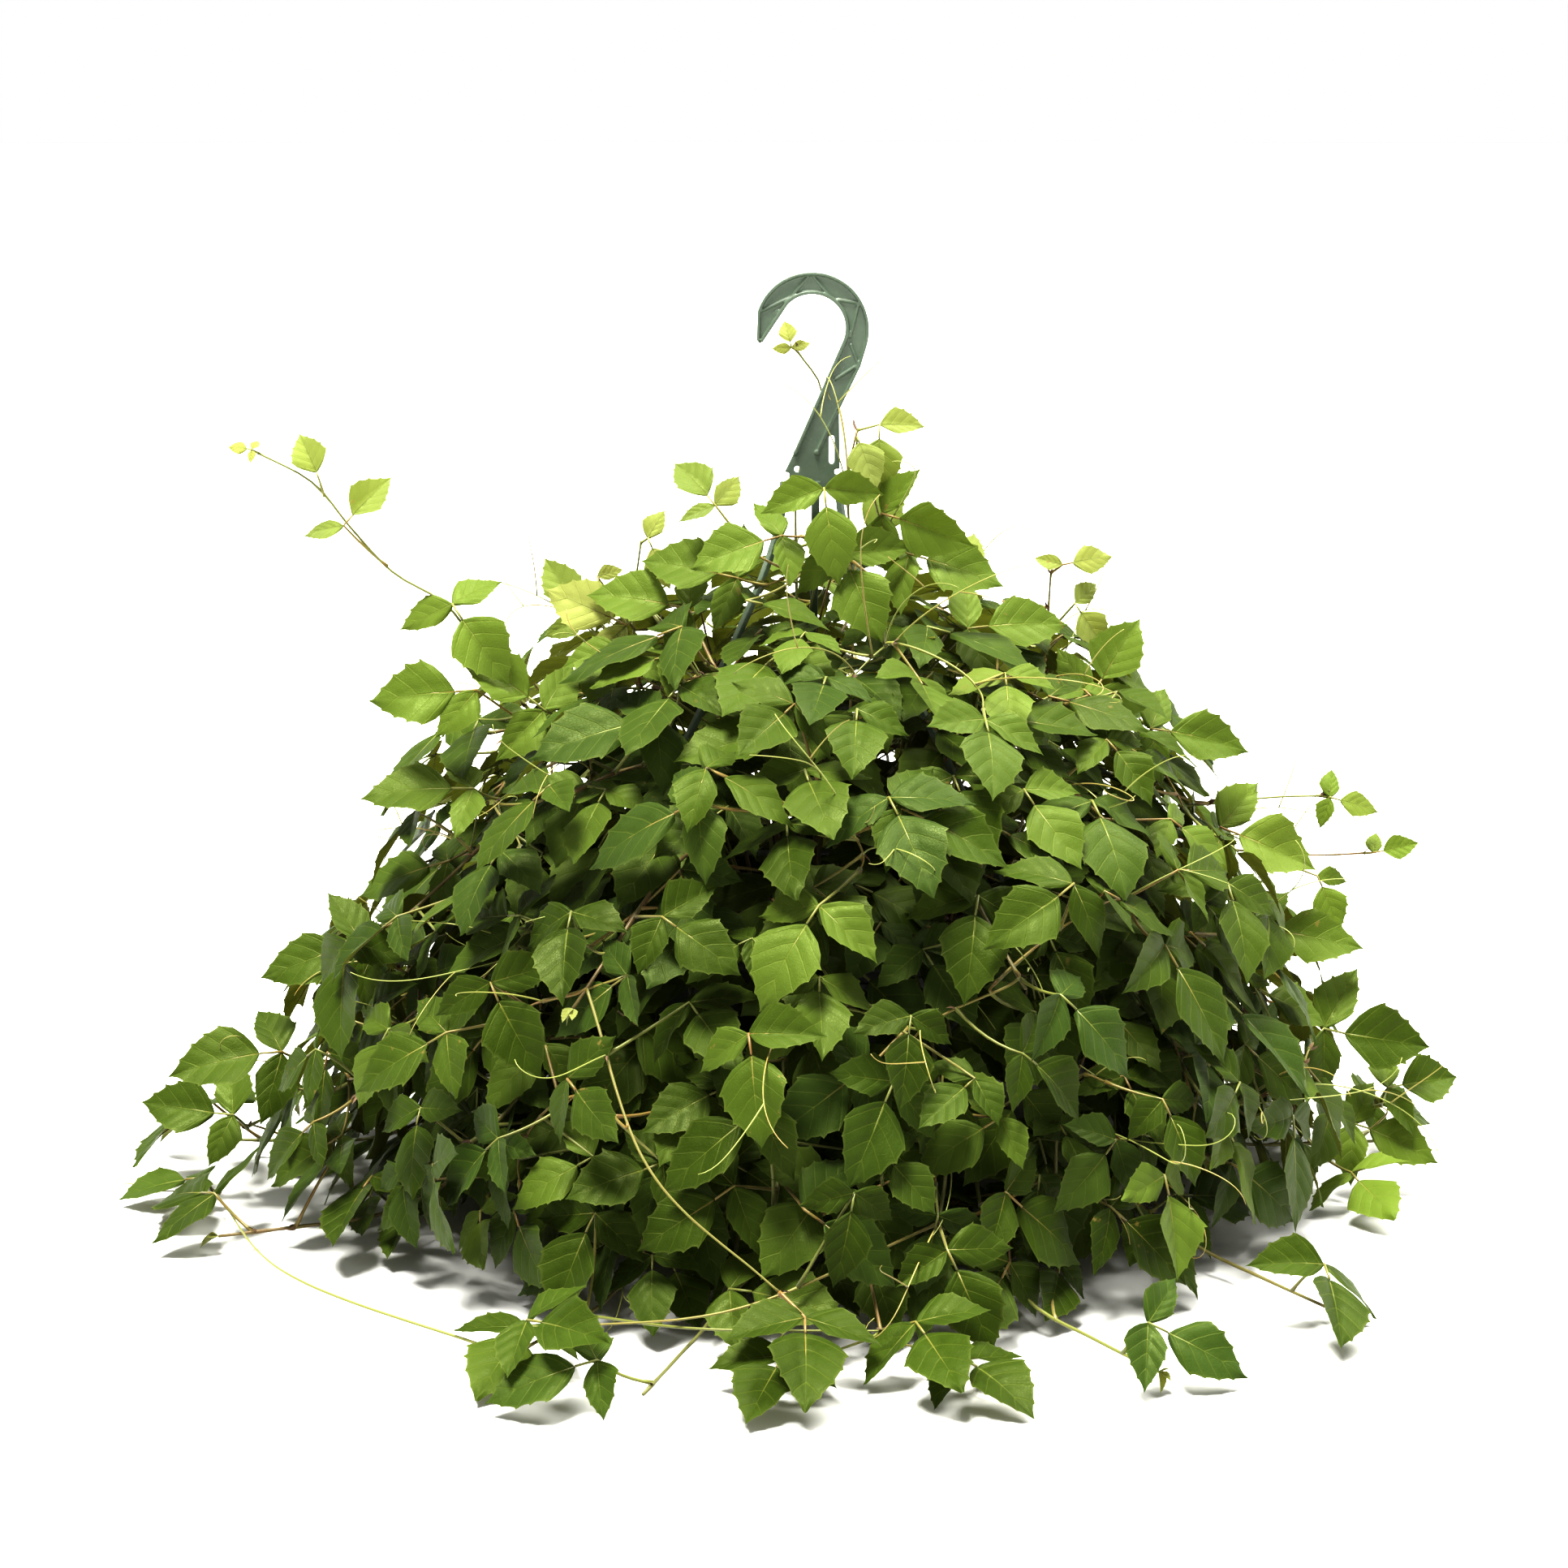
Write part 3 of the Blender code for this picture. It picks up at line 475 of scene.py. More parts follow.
def lay_stems(rng, obstacles):
    """Each family's stems as (name, path), moved round until they clear what is placed."""
    stems = []
    for name, root, way, _ in SPRIGS:
        points = [np.array(p) * MM for p in way]
        foot = np.array([root[0] * MM, root[1] * MM, SOIL_TOP])
        rise = [foot - UP * ROOT_DEPTH, foot + UP * 0.004, foot + UP * 0.012]
        stems.append((name, np.array(rise[:1] + list(spline(rise[1:] + points, SPRIG_POINTS)))))
        obstacles.add(tube(stems[-1][1], STEM_RADII), name)
    for name, azimuths, root, profile, _ in FAMILIES:
        for k, middle in enumerate(azimuths):
            for attempt in range(TRIES):
                azimuth = math.radians(middle + rng.uniform(-6, 6) * (1 + attempt / 6))
                drift = rng.uniform(-0.16, 0.16)
                scale = rng.uniform(0.94, 1.05)
                foot = polar(root + rng.uniform(-0.005, 0.004), azimuth, SOIL_TOP)
                rise = [foot - UP * ROOT_DEPTH, foot + UP * 0.003, foot + UP * 0.010]
                points = []
                for i, (reach, height) in enumerate(profile):
                    share = (i + 1) / len(profile)
                    wander = drift * share + rng.uniform(-0.05, 0.05)
                    high = height if height < 0.03 else height * rng.uniform(0.95, 1.05)
                    points.append(polar(reach * scale, azimuth + wander, high))
                path = np.array(rise[:1] + list(spline(rise[1:] + points, len(profile) + PATH_SPARE)))
                if not obstacles.hit(tube(path, STEM_RADII, 0.0016)):
                    break
            else:
                continue
            stems.append((f"{name}_{k + 1}", path))
            obstacles.add(tube(path, STEM_RADII), f"{name}_{k + 1}")
    return stems


def leaf_on(path, share, side, rng, sizes=LEAF_SIZE):
    """A compound leaf from this place on a stem, its blades hanging down the dome's outside."""
    start, heading = along_path(path, share)
    out, level, low = lie(start)
    last = share > LAST_SHARE
    face = unit(out + UP * low * rng.uniform(0.5, 2.0))
    ahead = heading * (1.3 if last else 0.2)
    stalk = unit(face * rng.uniform(0.5, 1.0) + ahead + UP * rng.uniform(0.0, 0.5)
                 + level * side * rng.uniform(0.1, 0.4 if last else 0.9))
    junction = start + stalk * rng.uniform(0.016, 0.042)
    normal = unit(face + UP * rng.uniform(0.0, 0.55) + level * rng.uniform(-0.45, 0.45))
    downhill = flatten(out * (0.35 + low) - UP * (1.0 - 0.8 * low) + ahead * 0.5, normal)
    along = turn(downhill, normal, side * math.radians(rng.uniform(5, 40 if last else 80)))
    return compound(start, junction, along, normal, rng.uniform(*sizes), rng)


def fits(leaf, owner, obstacles, free=False):
    mesh = leaf_mesh(leaf, CLEARANCE)
    points = mesh[0]
    return (off_pot(points) and (free or in_dome(points)) and not blades_meet(leaf[4])
            and not obstacles.hit(mesh, owner))


def sprig_leaf(path, row, attempt, rng):
    """One attempt at a sprig's leaf, its blade turned a little further with each."""
    share, x, y, z, angle, long, leaflets, spread = row
    start, _ = along_path(path, share)
    lean = 0.10 + 0.03 * attempt
    normal = unit([rng.uniform(-lean, lean), -0.85, 0.5 + rng.uniform(-lean, lean)])
    along = np.array([math.cos(math.radians(angle)), 0.0, math.sin(math.radians(angle))])
    return compound(start, np.array([x, y, z]) * MM, flatten(along, normal), normal, long * MM, rng,
                    leaflets, spread)


def lay_leaves(stems, rng, obstacles):
    """The leaves of every stem, as a dictionary from its name.

    Of the tries that fit, the one that lies furthest from the other blades is kept.
    """
    leaves = {name: [] for name, _ in stems}
    centres = []
    paths = dict(stems)

    def keep(name, leaf):
        leaves[name].append(leaf)
        obstacles.add(leaf_mesh(leaf), "leaf")
        centres.extend(blade_point(blade, 0.5, 0.0) for blade in filter(None, leaf[4]))

    def room(leaf):
        """How far the leaf's blades lie from those already placed."""
        placed = np.array(centres)
        return sum(min(ROOM_ENOUGH, np.linalg.norm(placed - blade_point(blade, 0.5, 0.0), axis=1).min())
                   for blade in leaf[4])

    for name, _, _, rows in SPRIGS:
        for row in rows:
            for attempt in range(TRIES):
                leaf = sprig_leaf(paths[name], row, attempt, rng)
                if fits(leaf, name, obstacles, free=True):
                    keep(name, leaf)
                    break
    for name, _, _, _, places in FAMILIES:
        members = [stem for stem in stems if stem[0].rsplit("_", 1)[0] == name]
        for order, share in enumerate(places):
            for k, (stem, path) in enumerate(members):
                side = 1 if (order + k) % 2 else -1
                tries = [leaf_on(path, min(1.0, share + rng.uniform(-0.06, 0.03)), side, rng)
                         for _ in range(TRIES)]
                tries = [leaf for leaf in tries if fits(leaf, stem, obstacles)]
                if tries:
                    keep(stem, max(tries, key=room))
    outer = [stem for stem in stems if stem[0].split("_")[0] in OUTER_FAMILIES]
    for _ in range(EXTRA_LEAVES):
        tries = []
        for _ in range(2 * TRIES):
            stem, path = rng.choice(outer)
            leaf = leaf_on(path, rng.uniform(*EXTRA_SHARES), rng.choice((-1, 1)), rng)
            if fits(leaf, stem, obstacles):
                tries.append((stem, leaf))
        if tries:
            keep(*max(tries, key=lambda pair: room(pair[1])))
    return leaves


def round_faces(rings, sides):
    """Faces of a round body: its first end, rings of this many points, and its last end."""
    faces = []
    for i in range(rings - 1):
        for k in range(sides):
            a, b = 1 + i * sides + k, 1 + i * sides + (k + 1) % sides
            faces.append((a, b, b + sides, a + sides))
    top = 1 + (rings - 1) * sides
    end = top + sides
    for k in range(sides):
        faces += [(0, 1 + (k + 1) % sides, 1 + k), (end, top + k, top + (k + 1) % sides)]
    return faces


def lathe(profile, sides, hub=(0.0, 0.0)):
    """A body of revolution from an open profile that starts and ends on the axis.

    The faces of its flat underside meet at the hub.
    """
    middle = profile[1:-1]
    verts = [(*hub, profile[0][1])]
    for radius, z in middle:
        verts += [polar(radius, 2 * math.pi * k / sides, z) for k in range(sides)]
    verts.append((0.0, 0.0, profile[-1][1]))
    return np.array(verts, float), round_faces(len(middle), sides)


def box(centre, sizes, azimuth=0.0):
    """A box with its first side along the azimuth."""
    out, side = polar(1.0, azimuth, 0.0), polar(1.0, azimuth + math.pi / 2, 0.0)
    wide, long, high = sizes
    path = [centre - side * (long / 2), centre + side * (long / 2)]
    return sweep(path, oblong(wide, high), (1, 1), side=out)


def prism(outline, thickness):
    """An X-Z outline given depth along Y, even about the X-Z plane."""
    n = len(outline)
    verts = [(x, y, z) for y in (-thickness / 2, thickness / 2) for x, z in outline]
    faces = [tuple(range(n)), tuple(reversed(range(n, 2 * n)))]
    faces += [(k, n + k, n + (k + 1) % n, (k + 1) % n) for k in range(n)]
    return np.array(verts), faces


def pot_body(sides):
    """The pot turned from its profile, before its slots and drain holes.

    The hub is off centre, so that the origin lies inside one face of the underside.
    """
    neck, rim, top = POT_NECK_RADIUS, POT_RIM_RADIUS, POT_HEIGHT
    profile = [
        (0, 0), (POT_BASE_RADIUS - 0.002, 0), (POT_BASE_RADIUS, 0.002), (neck, top - FLANGE_DROP),
        (rim - 0.002, top - FLANGE_DROP), (rim - 0.0015, top - LIP_DROP), (rim + 0.0005, top - LIP_DROP),
        (rim + 0.0005, top - 0.001), (rim - 0.0005, top), (neck - POT_WALL, top),
        (POT_BASE_RADIUS - POT_WALL, POT_WALL), (0, POT_WALL),
    ]
    return lathe(profile, sides, UNDERSIDE_HUB)


def arc(centre, radius, start, end, count):
    """Points of an arc in the X-Z plane, in millimetres and degrees."""
    return [(centre[0] + radius * math.cos(math.radians(a)), centre[1] + radius * math.sin(math.radians(a)))
            for a in np.linspace(start, end, count)]


def hook_lines(outer_count, inner_count):
    """The head's outer line, inner line and whole outline, in millimetres from the hook's centre."""
    outer = [(-29.6, -5.6)] + arc((0, 0), HOOK_OUTER, 161, -18, outer_count)
    outer += [(26.2, -19.2), (14.8, -42.8)]
    inner = [(-26.6, -6.4)] + arc((0, HOOK_INNER_RISE), HOOK_INNER, 135, -27, inner_count)
    inner += [(-9.8, -66.6)]
    bottom = [(15.3, -75.0), (12.4, -75.0), (12.4, -77.8), (16.2, -77.8), (16.5, -92.0), (13.4, -92.0)]
    bottom += arc((8.8, -90.0), 4.4, 0, 180, 6) + [(4.2, -92.0), (0.6, -92.0)]
    bottom += arc((-6.2, -90.0), 6.2, 0, 180, 8) + [(-13.6, -92.0), (-16.8, -92.0)]
    bottom += [(-16.2, -81.0), (-12.2, -81.0), (-12.2, -77.0), (-14.6, -76.6)]
    return outer, inner, outer + bottom + inner[::-1] + [(-28.2, -7.2)]


def on_head(points):
    return [(x * MM, HOOK_CENTRE_Z + z * MM) for x, z in points]


def inset(points, amount):
    """A line of the head moved sideways, to the right of its way."""
    path = np.array(points, float)
    step = np.gradient(path, axis=0)
    step /= np.linalg.norm(step, axis=1)[:, None]
    return path + np.stack([step[:, 1], -step[:, 0]], axis=1) * amount


def bar(points, thickness, width=LIP_WIDTH):
    """A rib of the head along its points, even about the head's middle plane."""
    path = [(x, 0.0, z) for x, z in on_head(points)]
    return sweep(path, oblong(thickness, width), [1] * len(path), side=(0, 1, 0))


def leg(start, azimuth, count):
    """One leg of the hanger, from under its head to below the rim."""
    top = np.array([start, 0.0, LEG_TOP_Z])
    foot = polar(LEG_FOOT_RADIUS, azimuth, POT_HEIGHT + LEG_STRAIGHT)
    knee, shin = top - UP * 0.055, polar(LEG_FOOT_RADIUS * 0.86, azimuth, foot[2] + 0.065)
    end = foot - UP * (LEG_STRAIGHT + 0.0095)
    path = [top + UP * 0.004] + bezier(top, knee, shin, foot, count) + [end]
    wide, deep = LEG_SECTION
    side = polar(1.0, azimuth + math.pi / 2, 0.0)
    return sweep(path, oblong(deep, wide), [1] * len(path), side=side)


def hanger_pieces(outer_count, inner_count, leg_count, post_sides):
    """The head's web and everything that is moulded to it."""
    outer, inner, outline = hook_lines(outer_count, inner_count)
    pieces = [bar(inset(outer, 0.6), LIP_THICK), bar(inset(inner, -0.8), LIP_THICK, 1.2 * LIP_WIDTH)]
    pieces += [bar(ends, BRACE_THICK, 0.0012) for ends in BRACES]
    post = BRACE_THICK / 2 + 0.0003
    for x, z in on_head(((-8.6, -66.2), (2.8, -66.0))):
        pieces.append(tube([(x, -post, z), (x, post, z)], (0.0013, 0.0013), sides=post_sides))
    for start, degrees in zip(LEG_STARTS, LEG_AZIMUTHS):
        azimuth = math.radians(degrees)
        pieces.append(leg(start, azimuth, leg_count))
        barb = polar(LEG_FOOT_RADIUS, azimuth, POT_HEIGHT - FLANGE_DROP - GAP - BARB_SIZE[2] / 2)
        pieces.append(box(barb, BARB_SIZE, azimuth))
    return prism(on_head(outline), WEB_THICK), pieces


# ---------------------------------------------------------------------------------------------
# Leaves that the outline is known by, in millimetres: junction x, y, z, the tip's angle in the
# X-Z plane (on the floor in the X-Y plane), blade length, leaflets, spread, age

FEATURES = (
    (6, -62, 400, -82, 42, 3, 76, 0.50), (32, -52, 388, -12, 44, 3, 70, 0.45),
    (-16, -56, 374, 205, 42, 3, 80, 0.45), (18, -60, 372, -70, 44, 3, 76, 0.40),
    (52, -46, 362, -30, 44, 3, 76, 0.45), (-40, -46, 350, 160, 44, 3, 80, 0.45),
    (26, -20, 366, 55, 34, 2, 120, 0.60), (-66, -40, 332, 160, 46, 3, 76, 0.50),
    (84, -40, 322, 12, 46, 3, 80, 0.50), (80, 2, 342, 80, 30, 1, 0, 0.78),
    (152, -28, 284, 62, 40, 3, 70, 0.55), (186, -14, 262, -8, 46, 3, 72, 0.50),
    (-148, -58, 268, 140, 44, 3, 84, 0.60), (-176, -62, 236, 190, 48, 3, 70, 0.50),
    (-206, -60, 204, 182, 46, 3, 74, 0.45), (-128, 20, 318, 120, 34, 3, 84, 0.75),
    (226, -10, 206, -30, 46, 3, 74, 0.80), (248, -14, 150, -20, 48, 3, 74, 0.50),
    (-246, -40, 148, 200, 48, 3, 74, 0.45), (-286, -50, 90, 196, 50, 3, 74, 0.40),
    (284, -30, 96, -14, 50, 3, 72, 0.45), (322, -24, 60, 15, 36, 3, 74, 0.50),
    (304, -26, 40, -25, 42, 3, 76, 0.62), (-322, -30, 46, 172, 44, 3, 74, 0.45),
    (-330, -60, 24, 190, 38, 3, 74, 0.40), (292, -44, 30, -62, 44, 3, 70, 0.97),
    (6, -312, 34, -96, 52, 3, 70, 0.30), (50, -304, 30, -60, 50, 3, 74, 0.30),
    (-16, -316, 20, -104, 44, 3, 70, 0.25), (-136, -276, 16, -112, 48, 3, 74, 0.45),
    (64, -322, 16, -52, 40, 3, 74, 0.25), (-52, -40, 388, 118, 30, 3, 70, 0.70),
    (-100, -30, 322, 150, 40, 3, 70, 0.96),
)

# ---------------------------------------------------------------------------------------------
# Fine foliage

# Half outline of a fine blade from base to tip: share of length, share of half width, and the vein
# number, which is whole where a side vein ends in a tooth
TOOTHED = (
    (0.02, 0.12, 0.16), (0.07, 0.34, 0.36), (0.14, 0.58, 0.56), (0.24, 0.83, 0.78),
    (0.345, 0.985, 0.95), (0.394, 1.030, 1.00), (0.400, 0.970, 1.14), (0.445, 0.930, 1.50),
    (0.50, 0.895, 1.80), (0.561, 0.895, 2.00), (0.566, 0.825, 2.14), (0.612, 0.750, 2.50),
    (0.655, 0.690, 2.80), (0.712, 0.670, 3.00), (0.716, 0.595, 3.14), (0.755, 0.495, 3.50),
    (0.800, 0.400, 3.80), (0.852, 0.350, 4.00), (0.857, 0.270, 4.25), (0.905, 0.150, 4.50),
    (0.955, 0.055, 4.75),
)

# Where the side veins leave the midrib, and how finely outer and inner blades are divided across
VEIN_ROOTS = (0.0, 0.055, 0.23, 0.43, 0.65, 1.0)
CROSS_STEPS = (0.0, 0.30, 0.66, 1.0)
INNER_STEPS = (0.0, 0.55, 1.0)
PUCKER = 0.0085
CREASE = 0.010


class Sheet:
    """Points, faces, vein coordinates and tints of one piece, gathered by finish."""

    def __init__(self):
        self.points, self.faces, self.veins, self.tints, self.finishes = [], [], [], [], []
        self.count = 0

    def add(self, points, faces, veins, tint, finish):
        """veins holds one pair for each corner of each face, or one pair for all."""
        self.points.append(np.asarray(points, float))
        for k, face in enumerate(faces):
            self.faces.append(tuple(self.count + i for i in face))
            self.veins.extend(veins[k] if veins is not None else [(0.0, 0.0)] * len(face))
            self.finishes.append(finish)
        self.tints.append(np.tile(np.asarray(tint, float), (len(points), 1)))
        self.count += len(points)

    def mesh(self, name):
        mesh = bpy.data.meshes.new(name)
        mesh.from_pydata(np.concatenate(self.points).tolist(), [], self.faces)
        layer = mesh.uv_layers.new(name="Veins")
        layer.data.foreach_set("uv", np.asarray(self.veins, np.float32).ravel())
        tint = mesh.attributes.new("leaf_tint", "FLOAT_COLOR", "POINT")
        tint.data.foreach_set("color", np.concatenate(self.tints).astype(np.float32).ravel())
        mesh.polygons.foreach_set("material_index", self.finishes)
        mesh.polygons.foreach_set("use_smooth", [True] * len(self.faces))
        mesh.update()
        return mesh


def blade_grid(rng):
    """One blade's outline with its own small uneven teeth, as rows of (u, v, vein number)."""
    rows = []
    for u, v, q in TOOTHED:
        reach = 0.05 if abs(q - round(q)) < 0.01 else 0.02
        rows.append((u + rng.uniform(-0.006, 0.006), v * (1 + rng.uniform(-0.03, reach)), q))
    return rows


def fine_blade(sheet, blade, tint, finish, rng, across=CROSS_STEPS):
    """A toothed blade whose rows follow its side veins, bulged a little between them."""
    normal, length = blade[2:4]
    rows = {1: blade_grid(rng), -1: blade_grid(rng)}
    curl = rng.uniform(-0.085, 0.012)
    twist = rng.uniform(-0.07, 0.07)
    ripple, phase = rng.uniform(0.006, 0.018), rng.uniform(0, 6.28)

    def place(u, v, q, s):
        point = blade_point(blade, min(u, 1.0), v)
        bulge = PUCKER * math.sin(math.pi * q) ** 2 * 4 * s * (1 - s)
        crease = CREASE * (1 - min(1.0, s / 0.3)) * (1 - u)
        lift = bulge - crease + curl * s ** 2 * (1 - 0.5 * u) + twist * u * v * 0.5
        lift += ripple * s ** 2 * math.sin(9.0 * u + phase + 1.3 * v)
        return point + normal * (length * lift)

    points = [place(0.0, 0.0, 0.0, 0.0), place(1.0, 0.0, 5.0, 0.0)]
    count = len(TOOTHED)
    middle = len(points)
    mid_u = [float(np.interp(q, range(6), VEIN_ROOTS)) for _, _, q in TOOTHED]
    points += [place(u, 0.0, q, 0.0) for u, (_, _, q) in zip(mid_u, TOOTHED)]
    faces, veins = [], []
    for sign in (1, -1):
        start = len(points)
        for root, (u, v, q) in zip(mid_u, rows[sign]):
            for s in across[1:]:
                points.append(place(root + (u - root) * s ** 1.12, sign * v * s, q, s))
        steps = len(across) - 1

        def at(row, step):
            return middle + row if step == 0 else start + row * steps + step - 1

        def coord(row, step):
            return TOOTHED[row][2], sign * across[step]

        for row in range(count - 1):
            for step in range(steps):
                corners = [(row, step), (row, step + 1), (row + 1, step + 1), (row + 1, step)]
                if sign < 0:
                    corners.reverse()
                faces.append([at(*c) for c in corners])
                veins.append([coord(*c) for c in corners])
        for step in range(steps):
            half = sign * (across[step] + across[step + 1]) / 2
            low = [(0, step), (0, step + 1)] if sign > 0 else [(0, step + 1), (0, step)]
            faces.append([0] + [at(*c) for c in reversed(low)])
            veins.append([(0.0, half)] + [coord(*c) for c in reversed(low)])
            high = [(count - 1, step), (count - 1, step + 1)]
            if sign < 0:
                high.reverse()
            faces.append([1] + [at(*c) for c in high])
            veins.append([(5.0, half)] + [coord(*c) for c in high])
    sheet.add(points, faces, veins, tint, finish)


def fine_tube(sheet, path, radii, sides, tint, finish):
    points, faces = sweep(path, ring(sides), radii)
    sheet.add(points, faces, None, tint, finish)


def smooth_path(path, factor):
    return spline(path, (len(path) - 1) * factor + 1)


BLADE_GREEN, BLADE_YOUNG, WOODY, STALK, TENDRIL, DRY = range(6)
MIDRIB_REACH = 0.72


def bowed(start, end, sideways, bow, count):
    """A gently bowed line from start to end."""
    line = []
    for t in np.linspace(0, 1, count):
        line.append(start + (end - start) * t + sideways * (bow * 4 * t * (1 - t)))
    return line


def fine_leaf(sheet, leaf, age, outer, rng):
    """A whole leaf: bowed stalk, toothed blades and, on an outer one, the midrib under each."""
    start, junction, along, normal, blades = leaf
    reach = np.linalg.norm(junction - start)
    # High up, the leaves are younger, and their colour is painted lighter as painted light from above;
    # lower leaves are left darker as painted shade
    high = clamp((junction[2] - 0.08) / 0.28) ** 1.8
    age = min(1.0, age * (0.70 + 0.34 * high) + 0.05 * high)
    finish = BLADE_YOUNG if age > 0.72 else BLADE_GREEN
    # Brightness: a random tone plus painted light that grows with the leaf's height
    tone_and_painted_light = min(1.0, 0.52 * rng.random() + 0.7 * high)
    hue, wear = rng.random(), rng.random()
    # The stalk and midribs carry the leaf's painted light from above too
    stalk_tint = (age, tone_and_painted_light, rng.random(), 1.0)
    step = unit(junction - start)
    level = flatten(normal if abs(np.dot(normal, step)) < 0.9 else along, step)
    thick = 0.00062 + 0.0000065 * blades[0][3] / MM
    stalk = bowed(start, junction, level, reach * rng.uniform(-0.10, 0.02), 7 if outer else 4)
    neck = blades[0][0]
    if np.linalg.norm(neck - junction) > 0.002:
        stalk += [junction + (neck - junction) * 0.5]
    radii = np.interp(np.linspace(0, 1, len(stalk)), [0, 0.12, 1], [1.5 * thick, thick, 0.72 * thick])
    fine_tube(sheet, stalk + [neck], list(radii) + [0.62 * thick], 6 if outer else 4, stalk_tint, STALK)
    for blade in filter(None, blades):
        # Each blade keeps the leaf's brightness, painted light included, with a little random tone
        tint = (clamp(age + rng.uniform(-0.06, 0.06)), tone_and_painted_light * 0.85 + rng.random() * 0.2, hue, wear)
        fine_blade(sheet, blade, tint, finish, rng, CROSS_STEPS if outer else INNER_STEPS)
        if outer:
            rib = []
            for u in np.linspace(0, MIDRIB_REACH, 4):
                rib.append(blade_point(blade, u, 0.0) - blade[2] * (CREASE * (1 - u) * blade[3] + 0.00022))
            width = 0.00012 + 0.0000095 * blade[3] / MM
            widths = np.interp(np.linspace(0, 1, 4), [0, 1], [width, 0.25 * width])
            fine_tube(sheet, rib, widths, 4, stalk_tint, STALK)


def fine_stem(sheet, path, radii, joints, age, rng, finish):
    """A stem that swells a little at each leaf joint, given as shares of its length."""
    fine = smooth_path(path, 4)
    shares = np.linspace(0, 1, len(fine))
    sizes = np.interp(shares, [0, 1], radii)
    for joint in joints:
        sizes = sizes * (1 + 0.42 * np.exp(-((shares - joint) / 0.012) ** 2))
    tint = (age, rng.random(), rng.random(), 0.5)
    fine_tube(sheet, fine, sizes, 8, tint, finish)


TENDRIL_RADII = (0.00050, 0.00024)


def tendril(sheet, start, heading, length, rng):
    """A thin forked climber's thread, straight at first and coiled at its ends."""
    side = flatten(scatter(rng, (-1, 1), (-1, 1), (-1, 1)), heading)
    forks = [(0.0, 1.0, rng.choice((0.25, 0.5, 0.9, 1.8)) * rng.uniform(0.8, 1.3))]
    if rng.random() < 0.7:
        forks.append((rng.uniform(0.45, 0.7), 0.45, rng.uniform(0.2, 1.0)))
    trunk = None
    for origin, size, turns in forks:
        points, direction, across = [], heading, side
        here = start
        if origin:
            k = int(origin * len(trunk))
            here = trunk[k]
            direction = unit(turn(heading, flatten(side, heading), 0.7))
        steps = 26 if not origin else 14
        step = length * size / steps
        third = np.cross(direction, across)
        for k in range(steps + 1):
            points.append(here)
            t = k / steps
            bend = (0.05 + turns * 2.0 * max(0.0, t - 0.5) ** 1.5) * (1 if size == 1.0 else -1)
            droop = -UP * 0.035 * (1 - t)
            direction = unit(turn(direction, third, bend * 0.5) + droop + third * 0.012)
            third = flatten(third, direction)
            here = here + direction * step
        points = np.array(points)
        if trunk is None:
            trunk = points
        if points[:, 2].min() < 0.001:
            continue
        radii = np.interp(np.linspace(0, 1, len(points)), [0, 1], TENDRIL_RADII) * (0.85 if origin else 1)
        fine_tube(sheet, points, radii, 5, (0.7, rng.random(), rng.random(), 0.3), TENDRIL)


def stipule(sheet, at, heading, rng):
    """A small dry scale beside a leaf joint."""
    out = flatten(scatter(rng, (-1, 1), (-1, 1), (0, 1)), heading)
    side = np.cross(heading, out)
    long, wide = rng.uniform(0.0025, 0.0050), rng.uniform(0.0008, 0.0016)
    base, leaning = at + out * 0.0006, out + heading
    points = [base - side * wide, base + side * wide, base + side * wide * 0.7 + leaning * long * 0.55,
              base + (out * 0.8 + heading * 1.2) * long, base - side * wide * 0.7 + leaning * long * 0.55,
              base + out * 0.0004 + leaning * long * 0.3]
    faces = [(0, 1, 5), (1, 2, 5), (2, 3, 5), (3, 4, 5), (4, 0, 5)]
    sheet.add(points, faces, None, (0.2, rng.random(), rng.random(), 0.9), DRY)


def bud(sheet, at, heading, rng, size=0.009):
    """A folded young leaf at a shoot's end."""
    for _ in range(3):
        aim = unit(heading + scatter(rng, (-0.6, 0.6), (-0.6, 0.6), (-0.4, 0.5)))
        normal = flatten(unit([rng.uniform(-0.4, 0.4), rng.uniform(-0.4, 0.4), 1.0]), aim)
        long = size * rng.uniform(0.7, 1.4)
        half = long * rng.uniform(0.20, 0.32)
        blade = (at, aim, normal, long, (half, half), rng.uniform(-0.2, 0.3), rng.uniform(0.5, 1.1), 0.02)
        fine_blade(sheet, blade, (1.0, rng.random(), rng.random(), 0.0), BLADE_YOUNG, rng, INNER_STEPS)


# ---------------------------------------------------------------------------------------------
# Filling shoots: thin side shoots and single leaves that close the mass between the stems

# Outside of the leafy mass as (height, reach). Low down it lies wider at its sides than in front,
# and high up it is slimmer on its left.
MASS = ((0.006, 0.250), (0.045, 0.276), (0.09, 0.278), (0.13, 0.268), (0.18, 0.250), (0.25, 0.216),
        (0.30, 0.160), (0.335, 0.104), (0.360, 0.050), (0.375, 0.012))
SIDE_SPREAD = 0.13
FRONT_DRAW = 0.04
LEFT_SLIM = 0.20

# Clumps stand out from the mass, and the deepest hollows between them stay open outside
CLUMP_SCALE = 17.0
CLUMP_DEPTH = 0.034
HOLLOW_BELOW = -0.34
OUTER_DEPTH = 0.02

# Blades against the layout's: the shares of length that the fixed leaves keep, and every blade's width
TRIM = (0.84, 0.97)
SLIMNESS = 0.86

SHOOT_RADII = (0.00095, 0.00060)
SHOOT_POINTS = 11
SHOOT_REACH = (0.014, 0.20)
STALK_REACH = (0.010, 0.062)
SHOOT_BEYOND = 0.060
ROOT_CHOICES = 7
FEATURE_TRIES = 60
FILL_SEED = 5

